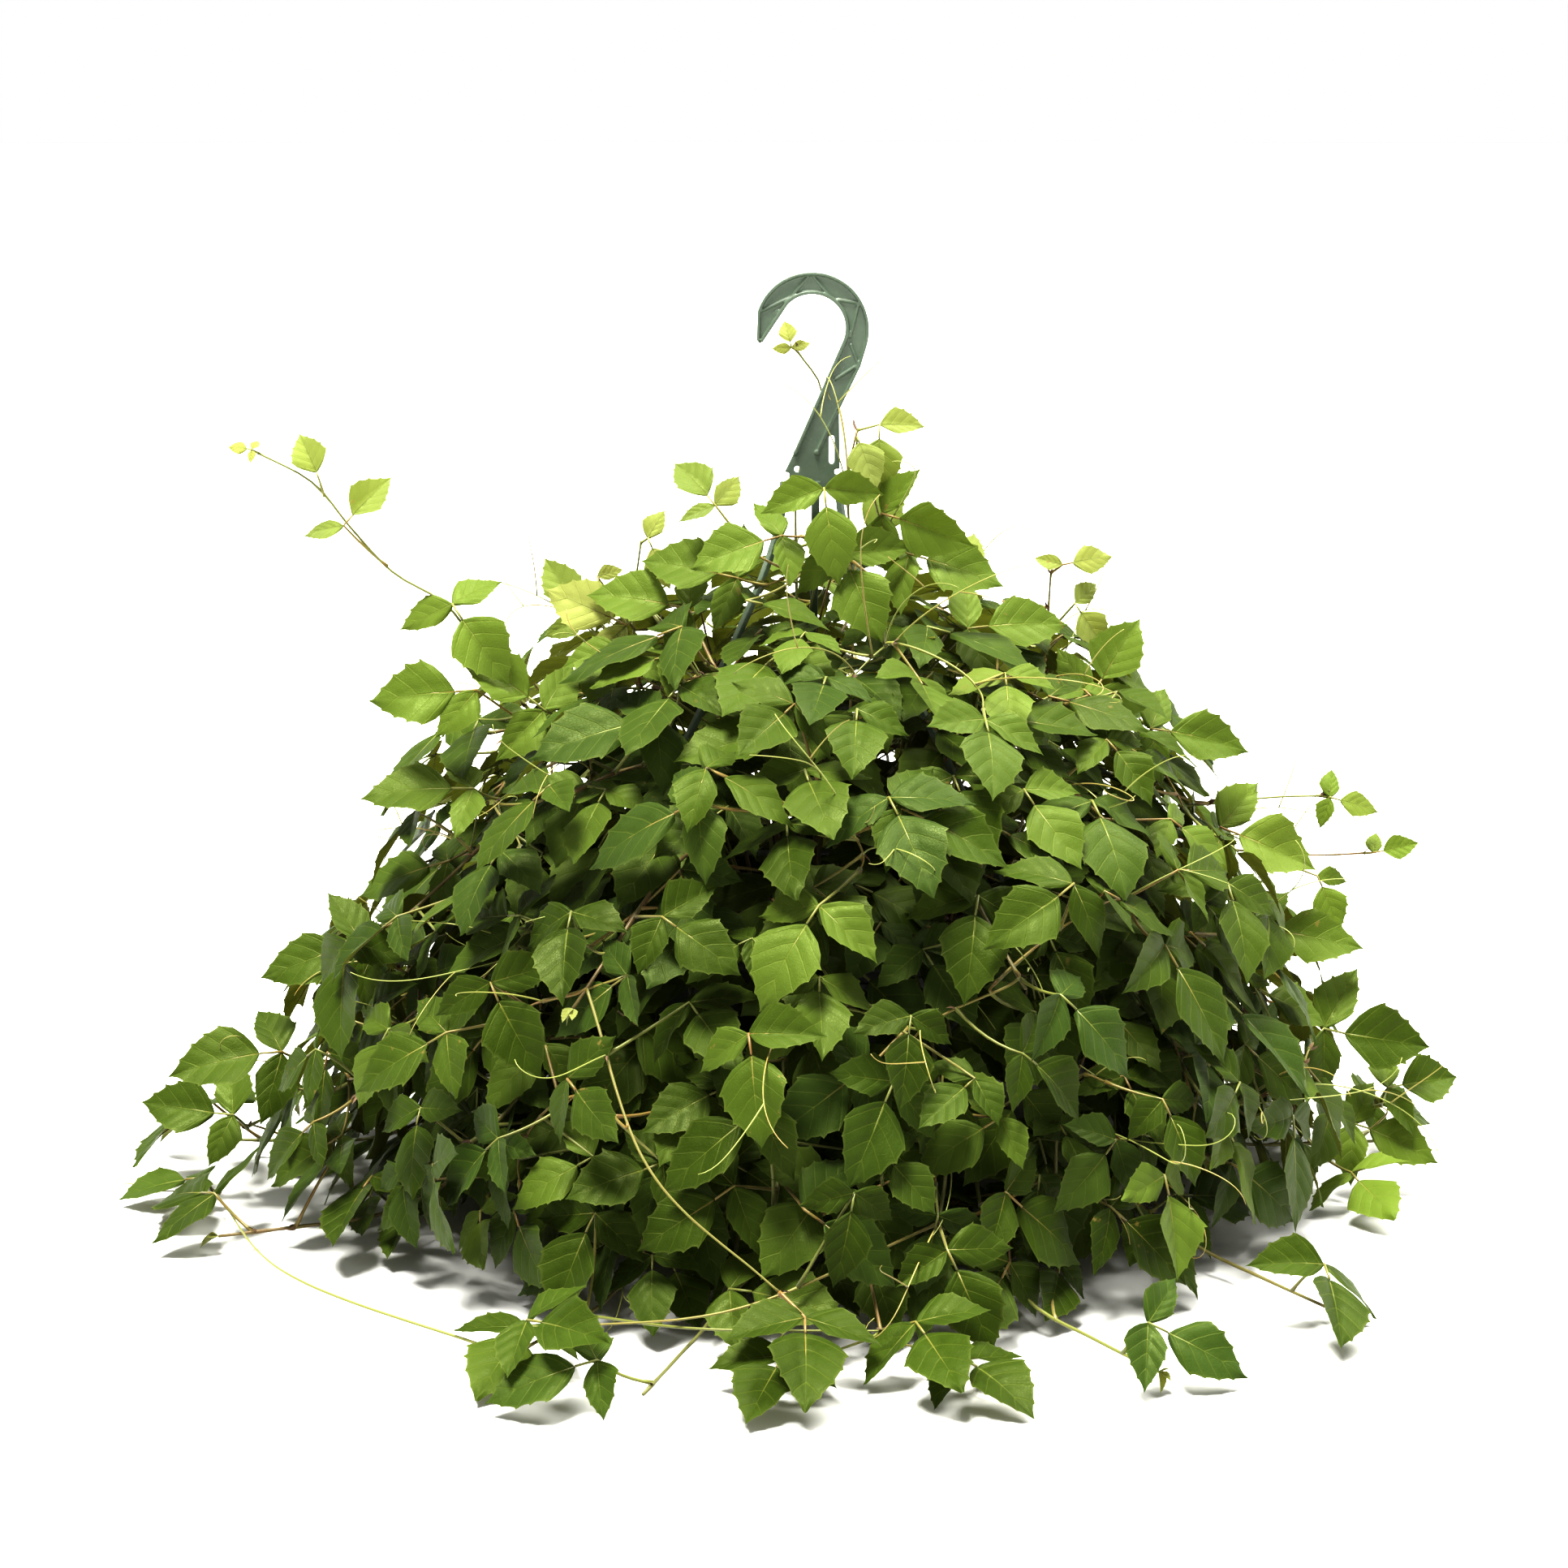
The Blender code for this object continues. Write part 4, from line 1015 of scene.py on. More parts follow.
# Rounds that close the mass from outside to inside: the targets' spacing, depth and jitter, how far a
# blade closes the mass around it, tries, blade lengths, how much younger the leaves may be
ROUNDS = (
    (0.019, 0.002, 0.008, 0.0185, 7, (0.036, 0.056), 0.25),
    (0.015, 0.012, 0.010, 0.0155, 7, (0.030, 0.048), 0.15),
    (0.017, 0.030, 0.010, 0.0165, 7, (0.036, 0.052), 0.0),
    (0.019, 0.050, 0.010, 0.0190, 6, (0.040, 0.055), 0.0),
    (0.022, 0.076, 0.010, 0.0215, 6, (0.042, 0.056), 0.0),
    (0.026, 0.108, 0.012, 0.0250, 5, (0.042, 0.056), 0.0),
)


def mass_targets(rng, spacing, depth, jitter):
    """Points over the mass at this depth under its outside, in an uneven order."""
    heights, reaches = zip(*MASS)
    way = np.concatenate([[0], np.cumsum(np.hypot(np.diff(heights), np.diff(reaches)))])
    targets = []
    for run in np.arange(0, way[-1], spacing):
        z = float(np.interp(run, way, heights))
        reach = float(np.interp(run, way, reaches)) - depth
        if reach < 0.010:
            continue
        low = max(0.0, 1 - z / 0.17)
        count = max(3, int(2 * math.pi * reach / spacing))
        for k in range(count):
            azimuth = 2 * math.pi * (k + rng.uniform(-0.4, 0.4)) / count
            front, left = max(0.0, -math.sin(azimuth)), max(0.0, -math.cos(azimuth))
            wide = 1 + low * (SIDE_SPREAD * math.cos(azimuth) ** 2 - FRONT_DRAW * front)
            narrow = 1 - LEFT_SLIM * left * clamp((z - 0.12) / 0.16)
            high = max(0.006, z + rng.uniform(-jitter, jitter))
            point = polar(reach * wide * narrow + rng.uniform(-jitter, jitter * 0.4), azimuth, high)
            clump = noise.noise(Vector(point) * CLUMP_SCALE)
            if clump < HOLLOW_BELOW and depth < OUTER_DEPTH:
                continue
            out = outward(point) * (clump * CLUMP_DEPTH - 0.004)
            targets.append(point + out * (1.0 if point[2] + out[2] > 0.006 else 0.0))
    rng.shuffle(targets)
    return targets


def slim(leaf, long=1.0):
    """The same leaf with its blades narrowed, and shortened about where they start."""
    start, junction, along, normal, blades = leaf
    kept = []
    for blade in blades:
        if blade is None:
            kept.append(None)
            continue
        base, way, facing, length, halves, *shape = blade
        halves = (halves[0] * long * SLIMNESS, halves[1] * long * SLIMNESS)
        kept.append((junction + (base - junction) * long, way, facing, length * long, halves, *shape))
    return start, junction, along, normal, kept


class Growth:
    """The stems, shoots and leaves of the whole plant while its gaps are filled."""

    def __init__(self, stems, leaves, obstacles, low, high, rng):
        self.low, self.high = low, high
        self.obstacles, self.rng = obstacles.without("leaf"), rng
        leaves = {name: [slim(leaf, rng.uniform(*TRIM)) for leaf in leaves[name]] for name, _ in stems}
        self.leaves = {name: [(leaf, None, True) for leaf in leaves[name]] for name, _ in stems}
        self.shoots = {name: [] for name, _ in stems}
        self.at, self.headings, self.owners = np.zeros((0, 3)), [], []
        self.centres = np.zeros((0, 3))
        for name, path in stems:
            self.anchor(name, smooth_path(path, 3)[6:])
            for leaf in leaves[name]:
                self.obstacles.add(leaf_mesh(leaf), "leaf")
                self.note(leaf)

    def anchor(self, name, path):
        steps = np.gradient(path, axis=0)
        self.at = np.vstack([self.at, path[::2]])
        for step in steps[::2]:
            self.headings.append(unit(step))
            self.owners.append(name)

    def note(self, leaf):
        middles = [blade_point(blade, 0.5, 0.0) for blade in filter(None, leaf[4])]
        self.centres = np.vstack([self.centres] + middles)

    def bare(self, target, cover):
        return np.min(np.linalg.norm(self.centres - target, axis=1)) > cover

    def roots_for(self, target):
        """The places on stems and shoots from which this point is best reached, best first."""
        at = self.at
        gap = np.linalg.norm(at - target, axis=1)
        inward = np.hypot(at[:, 0], at[:, 1]) - math.hypot(target[0], target[1])
        cost = gap + 0.7 * np.maximum(0, target[2] - at[:, 2] - 0.015) + 0.5 * np.maximum(0, inward)
        cost[(gap < SHOOT_REACH[0]) | (gap > SHOOT_REACH[1])] = np.inf
        return [i for i in np.argsort(cost)[:ROOT_CHOICES] if np.isfinite(cost[i])]

    def keep(self, name, leaf, age, outer):
        self.leaves[name].append((leaf, age, outer))
        if outer:
            self.obstacles.add(leaf_mesh(leaf), "leaf")
        self.note(leaf)

    def single_leaf(self, root, target, sizes):
        """A leaf whose stalk runs from the root to beside the target, or None."""
        rng = self.rng
        out, level, low = lie(target)
        lift = low * rng.uniform(0.5, 2.0) + rng.uniform(0.1, 1.15)
        normal = unit(out + UP * lift + level * rng.uniform(-0.7, 0.7))
        size = rng.uniform(*sizes)
        downhill = flatten(out * (0.35 + low) - UP * (1.0 - 0.8 * low), normal)
        along = turn(downhill, normal, rng.uniform(-1.15, 1.15))
        junction = target - along * (0.5 * size) - normal * 0.002
        stalk = junction - root
        reach = np.linalg.norm(stalk)
        if not STALK_REACH[0] < reach < STALK_REACH[1] or np.dot(stalk, normal) < -0.35 * reach:
            return None
        leaflets = 3 if rng.random() < 0.86 else 2
        return slim(compound(root, junction, along, normal, size, rng, leaflets))

    def shoot_path(self, root, heading, target):
        rng = self.rng
        out, level, low = lie(target)
        fall = unit(out * (0.5 + low) - UP * (0.8 - 0.8 * low) + level * rng.uniform(-1.2, 1.2))
        end = target - out * 0.014 - fall * 0.022
        end[2] = max(end[2], 0.004)
        span = np.linalg.norm(end - root)
        leaving = heading + outward(root) * 0.5 + UP * rng.uniform(-0.1, 0.4)
        first = root + leaving * span * rng.uniform(0.18, 0.34)
        second = end - fall * span * rng.uniform(0.2, 0.4) + UP * rng.uniform(0, 0.08) * span
        return np.array(bezier(root, first, second, end, SHOOT_POINTS))

    def feature(self, row):
        """A leaf that the plant's outline is known by, on its own shoot from the nearest stem."""
        x, y, z, angle, size, leaflets, spread, age = row
        rng = self.rng
        place = np.array([x, y, z]) * MM
        gaps = np.linalg.norm(self.at - place, axis=1) + 0.6 * np.maximum(0, self.at[:, 2] - place[2])
        order = [i for i in np.argsort(gaps) if gaps[i] > 0.02]
        for attempt in range(FEATURE_TRIES):
            stray = 0.0004 * attempt
            junction = place + scatter(rng, (-stray, stray), (-stray, stray), (-stray, stray))
            junction[2] = max(junction[2], 0.006)
            i = order[min(attempt * 2, len(order) - 1)]
            root, name = self.at[i], self.owners[i]
            lean = 0.15 + 0.02 * attempt
            lying = 1.0 if z < 40 else 0.0
            sideways, up = rng.uniform(-lean, lean), 0.55 + lying + rng.uniform(-lean, lean)
            normal = unit([sideways, -0.8 + 0.5 * lying, up])
            across, rise = math.cos(math.radians(angle)), math.sin(math.radians(angle))
            along = flatten(np.array([across, 0.7 * lying * rise, rise + 1e-3]), normal)
            gap = np.linalg.norm(junction - root)
            path = None
            start = root
            if gap > 0.045:
                end = junction - unit(junction - root + UP * 0.3 * gap) * 0.018
                end[2] = max(end[2], 0.004)
                lift = self.headings[i] * gap * 0.25 + UP * gap * (0.12 - 0.05 * lying)
                middle = (root + end) / 2 + lift * 0.6
                path = spline([root, middle, end], SHOOT_POINTS)
                if not off_pot(path[1:]) or self.obstacles.hit(tube(path[2:], SHOOT_RADII, 0.0003), name):
                    continue
                start = path[-1]
            leaf = slim(compound(start, junction, along, normal, size * MM, rng, leaflets, spread))
            points = leaf_mesh(leaf)[0]
            outside = np.any(points < self.low) or np.any(points > self.high)
            if outside or not fits(leaf, name, self.obstacles, free=True):
                continue
            if path is not None:
                self.shoots[name].append(path)
                self.obstacles.add(tube(path, SHOOT_RADII), name)
                self.anchor(name, path[2:])
            self.keep(name, leaf, age, True)
            return

    def fill(self, targets, cover, tries, sizes, young, outer):
        rng, obstacles = self.rng, self.obstacles

        def on_shoot(path, share, side):
            return slim(leaf_on(path, share, side, rng, sizes))

        for target in targets:
            if not self.bare(target, cover):
                continue
            roots = self.roots_for(target)
            if not roots:
                continue
            for _ in range(tries):
                i = roots[min(len(roots) - 1, int(rng.random() ** 1.6 * len(roots)))]
                root, name = self.at[i], self.owners[i]
                gap = np.linalg.norm(root - target)
                if gap < SHOOT_BEYOND:
                    leaf = self.single_leaf(root, target, sizes)
                    if leaf and fits(leaf, name, obstacles):
                        self.keep(name, leaf, rng.uniform(0.0, 0.45 + young), outer)
                        break
                    continue
                path = self.shoot_path(root, self.headings[i], target)
                thread = tube(path[1:], SHOOT_RADII, 0.0003)
                if not off_pot(path[1:]) or not in_dome(path) or obstacles.hit(thread, name):
                    continue
                last = on_shoot(path, 1.0, rng.choice((-1, 1)))
                if not fits(last, name, obstacles):
                    continue
                self.shoots[name].append(path)
                obstacles.add(tube(path, SHOOT_RADII), name)
                self.keep(name, last, rng.uniform(0.15, 0.6 + young), outer)
                side = rng.choice((-1, 1))
                for share in (0.78, 0.52, 0.3)[:1 + int(gap / 0.05)]:
                    side = -side
                    for _ in range(4):
                        leaf = on_shoot(path, share + rng.uniform(-0.06, 0.06), side)
                        if fits(leaf, name, obstacles):
                            self.keep(name, leaf, rng.uniform(0.0, 0.5), outer)
                            break
                self.anchor(name, path[2:])
                break


# ---------------------------------------------------------------------------------------------
# Mesh helpers

def placed(name, data, collection=None):
    """A new object with this data, in the scene or in a collection."""
    obj = bpy.data.objects.new(name, data)
    (collection or bpy.context.scene.collection).objects.link(obj)
    return obj


def new_object(name, mesh_data, collection=None):
    points, faces = mesh_data
    mesh = bpy.data.meshes.new(name)
    mesh.from_pydata([tuple(p) for p in points], [], [tuple(f) for f in faces])
    bm = bmesh.new()
    bm.from_mesh(mesh)
    bmesh.ops.recalc_face_normals(bm, faces=bm.faces)
    bm.to_mesh(mesh)
    bm.free()
    return placed(name, mesh, collection)


def settle_modifiers(obj):
    """Puts the result of the object's modifiers in its mesh."""
    bpy.context.view_layer.update()
    graph = bpy.context.evaluated_depsgraph_get()
    result = bpy.data.meshes.new_from_object(obj.evaluated_get(graph))
    obj.modifiers.clear()
    old = obj.data
    obj.data = result
    bpy.data.meshes.remove(old)


def boolean(target, pieces, operation):
    """Joins the pieces to the target or cuts them from it, then removes them."""
    helpers = bpy.data.collections.new("helpers")
    bpy.context.scene.collection.children.link(helpers)
    for k, piece in enumerate(pieces):
        new_object(f"helper_{k}", piece, helpers)
    modifier = target.modifiers.new("boolean", "BOOLEAN")
    modifier.operation = operation
    modifier.solver = "MANIFOLD"
    modifier.operand_type = "COLLECTION"
    modifier.collection = helpers
    settle_modifiers(target)
    for helper in list(helpers.objects):
        mesh = helper.data
        bpy.data.objects.remove(helper)
        bpy.data.meshes.remove(mesh)
    bpy.data.collections.remove(helpers)


def shade_smooth(obj, degrees):
    mesh = obj.data
    mesh.polygons.foreach_set("use_smooth", [True] * len(mesh.polygons))
    mesh.set_sharp_from_angle(angle=math.radians(degrees))
    mesh.update()


def dress(obj, node, slot, *materials):
    """The piece rides on the plant's one body, stands for its node and takes its finishes."""
    for k, finish in enumerate(materials):
        if k < len(obj.data.materials):
            obj.data.materials[k] = finish
        else:
            obj.data.materials.append(finish)
    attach(obj, "root")
    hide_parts(node)


# ---------------------------------------------------------------------------------------------
# Hanger, pot and potting mix

CUT_DEPTH = 0.02
CUT_SIDES = 24
FINE_HANGER_COUNTS = (60, 44, 46, 20)
BOSS = (-18.4, 9.4)
BOSS_RADIUS = 0.0016
HEAD_VOXEL = 0.00042
HEAD_THINNING = 0.24
FINE_POT_SIDES = 144
MIX_SEED = 41
MIX_SIDES = 120
MIX_RINGS = 34
CRUMBS = 1150
CRUMB_GRAIN = 0.22
GRIT_SHARE = 0.11

# Sizes of the crumbs by their finish: bark, then grit
CRUMB_SIZES = {1: (0.0009, 0.0030), 2: (0.0009, 0.0021)}


def capsule(x, z, wide, high, count):
    """A slot's outline with round ends, in the head's plane."""
    half = wide / 2
    top = arc((x, z + high / 2 - half), half, 0, 180, count)
    low = arc((x, z - high / 2 + half), half, 180, 360, count)
    return prism(on_head(top + low), CUT_DEPTH)


def make_hanger():
    web, pieces = hanger_pieces(*FINE_HANGER_COUNTS)
    hanger = new_object("hanger_moulding", web)
    x, z = on_head((BOSS,))[0]
    pieces.append(tube([(x, -BOSS_RADIUS, z), (x, BOSS_RADIUS, z)], (BOSS_RADIUS, BOSS_RADIUS), sides=20))
    boolean(hanger, pieces, "UNION")
    x, z, radius = TIE_HOLE
    hole = [(x * MM, y, HOOK_CENTRE_Z + z * MM) for y in (-CUT_DEPTH / 2, CUT_DEPTH / 2)]
    cutters = [capsule(*TAG_SLOT, 9), tube(hole, (radius * MM, radius * MM), sides=CUT_SIDES)]
    boolean(hanger, cutters, "DIFFERENCE")
    remesh = hanger.modifiers.new("even", "REMESH")
    remesh.mode = "VOXEL"
    remesh.voxel_size = HEAD_VOXEL
    soften = hanger.modifiers.new("soften", "SMOOTH")
    soften.factor = 0.5
    soften.iterations = 3
    thin = hanger.modifiers.new("thin", "DECIMATE")
    thin.ratio = HEAD_THINNING
    settle_modifiers(hanger)
    low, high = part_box("hanger")
    for vert in hanger.data.vertices:
        for k in range(3):
            vert.co[k] = min(max(vert.co[k], low[k]), high[k])
    shade_smooth(hanger, 180)
    return hanger


def make_pot():
    neck, rim, top, foot = POT_NECK_RADIUS, POT_RIM_RADIUS, POT_HEIGHT, POT_BASE_RADIUS
    under = top - FLANGE_DROP
    profile = [
        (0, 0.0012), (foot - 0.010, 0.0012), (foot - 0.0085, 0), (foot - 0.0022, 0),
        (foot - 0.0008, 0.0006), (foot, 0.0022), (foot + 0.0062, 0.030), (foot + 0.0072, 0.0335),
        (foot + 0.0078, 0.0335), (neck - 0.0030, under - 0.014), (neck - 0.0012, under - 0.0125),
        (neck, under), (rim - 0.0026, under), (rim - 0.0020, under - 0.0004),
        (rim - 0.0015, top - LIP_DROP + 0.0004), (rim - 0.0011, top - LIP_DROP),
        (rim + 0.0001, top - LIP_DROP), (rim + 0.0005, top - LIP_DROP + 0.0005),
        (rim + 0.0005, top - 0.0012), (rim, top - 0.0003), (rim - 0.0009, top),
        (neck - POT_WALL + 0.0005, top), (neck - POT_WALL - 0.0001, top - 0.0005),
        (foot - POT_WALL, POT_WALL), (0, POT_WALL),
    ]
    pot = new_object("pot_moulding", lathe(profile, FINE_POT_SIDES))
    cutters = []
    for azimuth in map(math.radians, LEG_AZIMUTHS):
        cutters.append(box(polar(LEG_FOOT_RADIUS, azimuth, POT_HEIGHT), (*SLOT_SIZE, CUT_DEPTH), azimuth))
    for k in range(DRAIN_COUNT):
        centre = polar(DRAIN_RING, 2 * math.pi * (k + 0.5) / DRAIN_COUNT, 0)
        ends = [centre - UP * CUT_DEPTH / 2, centre + UP * CUT_DEPTH / 2]
        cutters.append(tube(ends, (DRAIN_RADIUS, DRAIN_RADIUS), sides=CUT_SIDES))
    boolean(pot, [joined(cutters)], "DIFFERENCE")
    shade_smooth(pot, 34)
    return pot


def small_ball():
    """Corners and faces of a ball of twenty faces."""
    golden = (1 + 5 ** 0.5) / 2
    corners = []
    for a in (-1, 1):
        for b in (-golden, golden):
            corners += [(0, a, b), (a, b, 0), (b, 0, a)]
    corners = np.array([unit(c) for c in corners])
    faces = []
    for i in range(12):
        for j in range(i + 1, 12):
            for k in range(j + 1, 12):
                pairs = ((i, j), (j, k), (i, k))
                if all(np.linalg.norm(corners[p] - corners[q]) < 1.1 for p, q in pairs):
                    middle = corners[i] + corners[j] + corners[k]
                    out = np.dot(np.cross(corners[j] - corners[i], corners[k] - corners[i]), middle) > 0
                    faces.append((i, j, k) if out else (i, k, j))
    return corners, faces


def crumb(ball, centre, size, rng):
    """A crumb of mix: a small ball pushed out of true."""
    corners, faces = ball
    stretch = scatter(rng, (0.6, 1.4), (0.6, 1.4), (0.5, 0.9))
    turned = rng.uniform(0, math.pi)
    points = []
    for corner in corners * stretch:
        push = 1 + rng.uniform(-CRUMB_GRAIN, CRUMB_GRAIN)
        points.append(centre + turn(corner, UP, turned) * size * push)
    return np.array(points), faces


def make_mix():
    """The potting mix: an uneven top over the filled pot, with crumbs, bark and white grit on it."""
    rng = random.Random(MIX_SEED)
    low = POT_WALL + GAP
    lean = (POT_NECK_RADIUS - POT_BASE_RADIUS) / (POT_HEIGHT - POT_WALL)
    inside = POT_BASE_RADIUS - POT_WALL - GAP
    brim = inside + lean * (SOIL_TOP - low) - 0.0016
    points = [np.array([0.0, 0.0, low])]
    rows = [(inside - 0.001, low)]
    rows += [(brim * (1 - k / MIX_RINGS) ** 0.8, SOIL_TOP) for k in range(MIX_RINGS)]
    for radius, z in rows:
        for k in range(MIX_SIDES):
            point = polar(radius, 2 * math.pi * k / MIX_SIDES, z)
            if z > low and radius < brim - 1e-6:
                rough = noise.noise(Vector(point) * 90) * 0.0016 + noise.noise(Vector(point) * 260) * 0.0012
                rough += noise.noise(Vector(point) * 620) * 0.0007
                point[2] += rough - 0.0010
            points.append(point)
    points.append(np.array([0.0, 0.0, SOIL_TOP - 0.001]))
    faces = round_faces(len(rows), MIX_SIDES)
    meshes, finishes = [(np.array(points), faces)], [0] * len(faces)
    ball = small_ball()
    for _ in range(CRUMBS):
        radius, azimuth = (brim - 0.004) * math.sqrt(rng.random()), rng.uniform(0, 2 * math.pi)
        kind = 2 if rng.random() < GRIT_SHARE else 1
        size = rng.uniform(*CRUMB_SIZES[kind])
        meshes.append(crumb(ball, polar(radius, azimuth, SOIL_TOP - 0.0004), size, rng))
        finishes += [kind] * len(ball[1])
    mesh_points, mesh_faces = joined(meshes)
    mesh = bpy.data.meshes.new("potting_mix")
    mesh.from_pydata(mesh_points.tolist(), [], mesh_faces)
    mesh.polygons.foreach_set("material_index", finishes)
    mesh.update()
    mix = placed("potting_mix", mesh)
    shade_smooth(mix, 50)
    return mix


# ---------------------------------------------------------------------------------------------
# Finishes, in linear colours

# A blade's tones: dark, middle, bluish, fresh and young. A leaf sits between dark and middle by its random
# tone and by painted light from above, so the dark tone also serves as painted shade on lower leaves
LEAF_TONES = ((0.0145, 0.026, 0.0007), (0.041, 0.068, 0.0060), (0.025, 0.046, 0.0080),
              (0.074, 0.108, 0.0155), (0.18, 0.195, 0.060))
UNDERSIDE = (0.075, 0.080, 0.022)
VEIN_TONE = (0.12, 0.14, 0.022)
BLEMISH = (0.16, 0.11, 0.035)
LEAF_GLOW = (2.0, 1.9, 0.75)
LEAF_ROUGHNESS = 0.40
SCUFF = (0.30, 0.33, 0.28)
DUST = (0.34, 0.33, 0.28)
FLOOR_TONES = ((0.54, 0.54, 0.525), (0.58, 0.58, 0.565))

# Blades: name, fuzz, share of the light let through
BLADES = (("leaf_green", 0.04, 0.20), ("leaf_young", 0.45, 0.30))

# Stems: name, older, younger and reddish colour, roughness
STALKS = (
    ("stem_green", (0.060, 0.060, 0.012), (0.13, 0.14, 0.026), (0.09, 0.050, 0.012), 0.5),
    ("stalk_flushed", (0.090, 0.10, 0.016), (0.17, 0.18, 0.034), (0.16, 0.085, 0.018), 0.42),
    ("tendril_pale", (0.14, 0.16, 0.026), (0.22, 0.24, 0.06), (0.20, 0.13, 0.03), 0.4),
    ("stipule_dry", (0.08, 0.042, 0.018), (0.17, 0.11, 0.05), (0.05, 0.024, 0.010), 0.7),
)

# Plastics: name, base and worn colour, roughness, grain scale, dust
HANGER_PLASTIC = ("hanger_plastic", (0.060, 0.088, 0.058), (0.085, 0.115, 0.078), 0.40, 1300.0, 0.25)
POT_PLASTIC = ("pot_plastic", (0.012, 0.022, 0.014), (0.020, 0.032, 0.021), 0.36, 1100.0, 0.4)

# Potting mix: name, dark and light colour, scale, roughness
EARTHS = (
    ("damp_mix", (0.012, 0.008, 0.005), (0.060, 0.038, 0.022), 160.0, 0.85),
    ("bark_crumb", (0.020, 0.011, 0.006), (0.11, 0.062, 0.034), 300.0, 0.8),
    ("white_grit", (0.42, 0.41, 0.37), (0.72, 0.71, 0.66), 300.0, 0.75),
)


class Net:
    """A node tree that is written as nested calls."""

    def __init__(self, tree):
        self.tree = tree

    def node(self, kind, inputs=None, **settings):
        made = self.tree.nodes.new(kind)
        for key, value in settings.items():
            setattr(made, key, value)
        for key, value in (inputs or {}).items():
            self.feed(value, made.inputs[key])
        return made

    def feed(self, value, socket):
        if isinstance(value, bpy.types.NodeSocket):
            self.tree.links.new(value, socket)
        elif isinstance(value, (tuple, list)) and len(value) == 3 and socket.type == "RGBA":
            socket.default_value = (*value, 1.0)
        else:
            socket.default_value = value

    def math(self, operation, a, b=0.5, clamp=False):
        made = self.node("ShaderNodeMath", {0: a, 1: b}, operation=operation, use_clamp=clamp)
        return made.outputs[0]

    def times(self, a, b, clamp=False):
        return self.math("MULTIPLY", a, b, clamp)

    def minus(self, a, b):
        return self.math("SUBTRACT", a, b)

    def total(self, *parts, clamp=False):
        """The sum of its parts, each a value or a (value, share) pair."""
        first, *rest = (self.times(*part) if isinstance(part, tuple) else part for part in parts)
        for term in rest:
            first = self.math("ADD", first, term, clamp=clamp and term is rest[-1])
        return first

    def stretch(self, vector, scales):
        return self.node("ShaderNodeVectorMath", {0: vector, 1: scales}, operation="MULTIPLY").outputs[0]

    def span(self, value, low, high, out_low=0.0, out_high=1.0):
        """The value's place between low and high, eased, as a number from out_low to out_high."""
        made = self.node("ShaderNodeMapRange", {0: value, 1: low, 2: high, 3: out_low, 4: out_high},
                         interpolation_type="SMOOTHSTEP")
        return made.outputs[0]

    def mix(self, factor, a, b, blend="MIX"):
        made = self.node("ShaderNodeMix", {0: factor, 6: a, 7: b}, data_type="RGBA", blend_type=blend)
        return made.outputs[2]

    def noise(self, vector, scale, detail=3.0, roughness=0.55, distortion=0.0):
        made = self.node("ShaderNodeTexNoise", {"Vector": vector, "Scale": scale, "Detail": detail,
                                                "Roughness": roughness, "Distortion": distortion})
        return made.outputs["Fac"]

    def place(self):
        return self.node("ShaderNodeTexCoord").outputs["Object"]

    def leaf_tint(self):
        """Age, brightness, hue and wear, as every leaf and stem carries them. The brightness is a random
        tone, and on leaves and their stalks also painted light that grows with height.
        """
        tint = self.node("ShaderNodeAttribute", attribute_name="leaf_tint", attribute_type="GEOMETRY")
        parts = self.node("ShaderNodeSeparateColor", {0: tint.outputs["Color"]})
        return (*parts.outputs, tint.outputs["Alpha"])

    def bump(self, strength, distance, height, **more):
        inputs = {"Strength": strength, "Distance": distance, "Height": height, **more}
        return self.node("ShaderNodeBump", inputs).outputs[0]


def effect(name, takes, gives, build):
    """A shader group with named inputs and outputs, whose inside is wired by build."""
    tree = bpy.data.node_groups.new(name, "ShaderNodeTree")
    for label, kind, value in takes:
        socket = tree.interface.new_socket(label, in_out="INPUT", socket_type=kind)
        socket.default_value = value
    for label, kind in gives:
        tree.interface.new_socket(label, in_out="OUTPUT", socket_type=kind)
    net = Net(tree)
    entry, leave = net.node("NodeGroupInput"), net.node("NodeGroupOutput")
    for label, value in build(net, entry.outputs).items():
        net.feed(value, leave.inputs[label])
    return tree


FLOAT = "NodeSocketFloat"


def build_venation(net, take):
    coords = net.node("ShaderNodeUVMap", uv_map="Veins").outputs["UV"]
    parts = net.node("ShaderNodeSeparateXYZ", {0: coords})
    number, across = parts.outputs[0], net.math("ABSOLUTE", parts.outputs[1])
    taper = net.minus(1.0, net.times(number, 0.17))
    rib_edge = net.times(take["Rib Width"], taper)
    ribs = net.span(across, rib_edge, net.times(rib_edge, 0.35))
    wander = net.times(net.minus(net.noise(net.place(), 260.0, 2.0), 0.5), 0.06)
    ahead = net.total(number, wander)
    nearest = net.math("ABSOLUTE", net.minus(net.math("FRACT", net.total(ahead, 0.5)), 0.5))
    real = net.times(net.math("GREATER_THAN", number, 0.6), net.math("LESS_THAN", number, 4.5))
    slim = net.times(take["Branch Width"], net.minus(1.15, net.times(across, 0.75)))
    branches = net.times(real, net.span(nearest, slim, net.times(slim, 0.3)))
    stretched = net.stretch(coords, (1.0, 2.3, 0.0))
    cells = net.node("ShaderNodeTexVoronoi", {"Vector": stretched, "Scale": take["Net Scale"]},
                     feature="DISTANCE_TO_EDGE", voronoi_dimensions="2D").outputs["Distance"]
    mesh = net.span(cells, 0.10, 0.02)
    margin = net.span(across, 0.90, 1.0)
    relief = net.total(ribs, (branches, 0.75), (mesh, 0.22))
    swell = net.span(nearest, 0.0, 0.5)
    height = net.minus(net.times(swell, 0.5), relief)
    return {"Ribs": ribs, "Branches": branches, "Mesh": mesh, "Margin": margin, "Height": height}


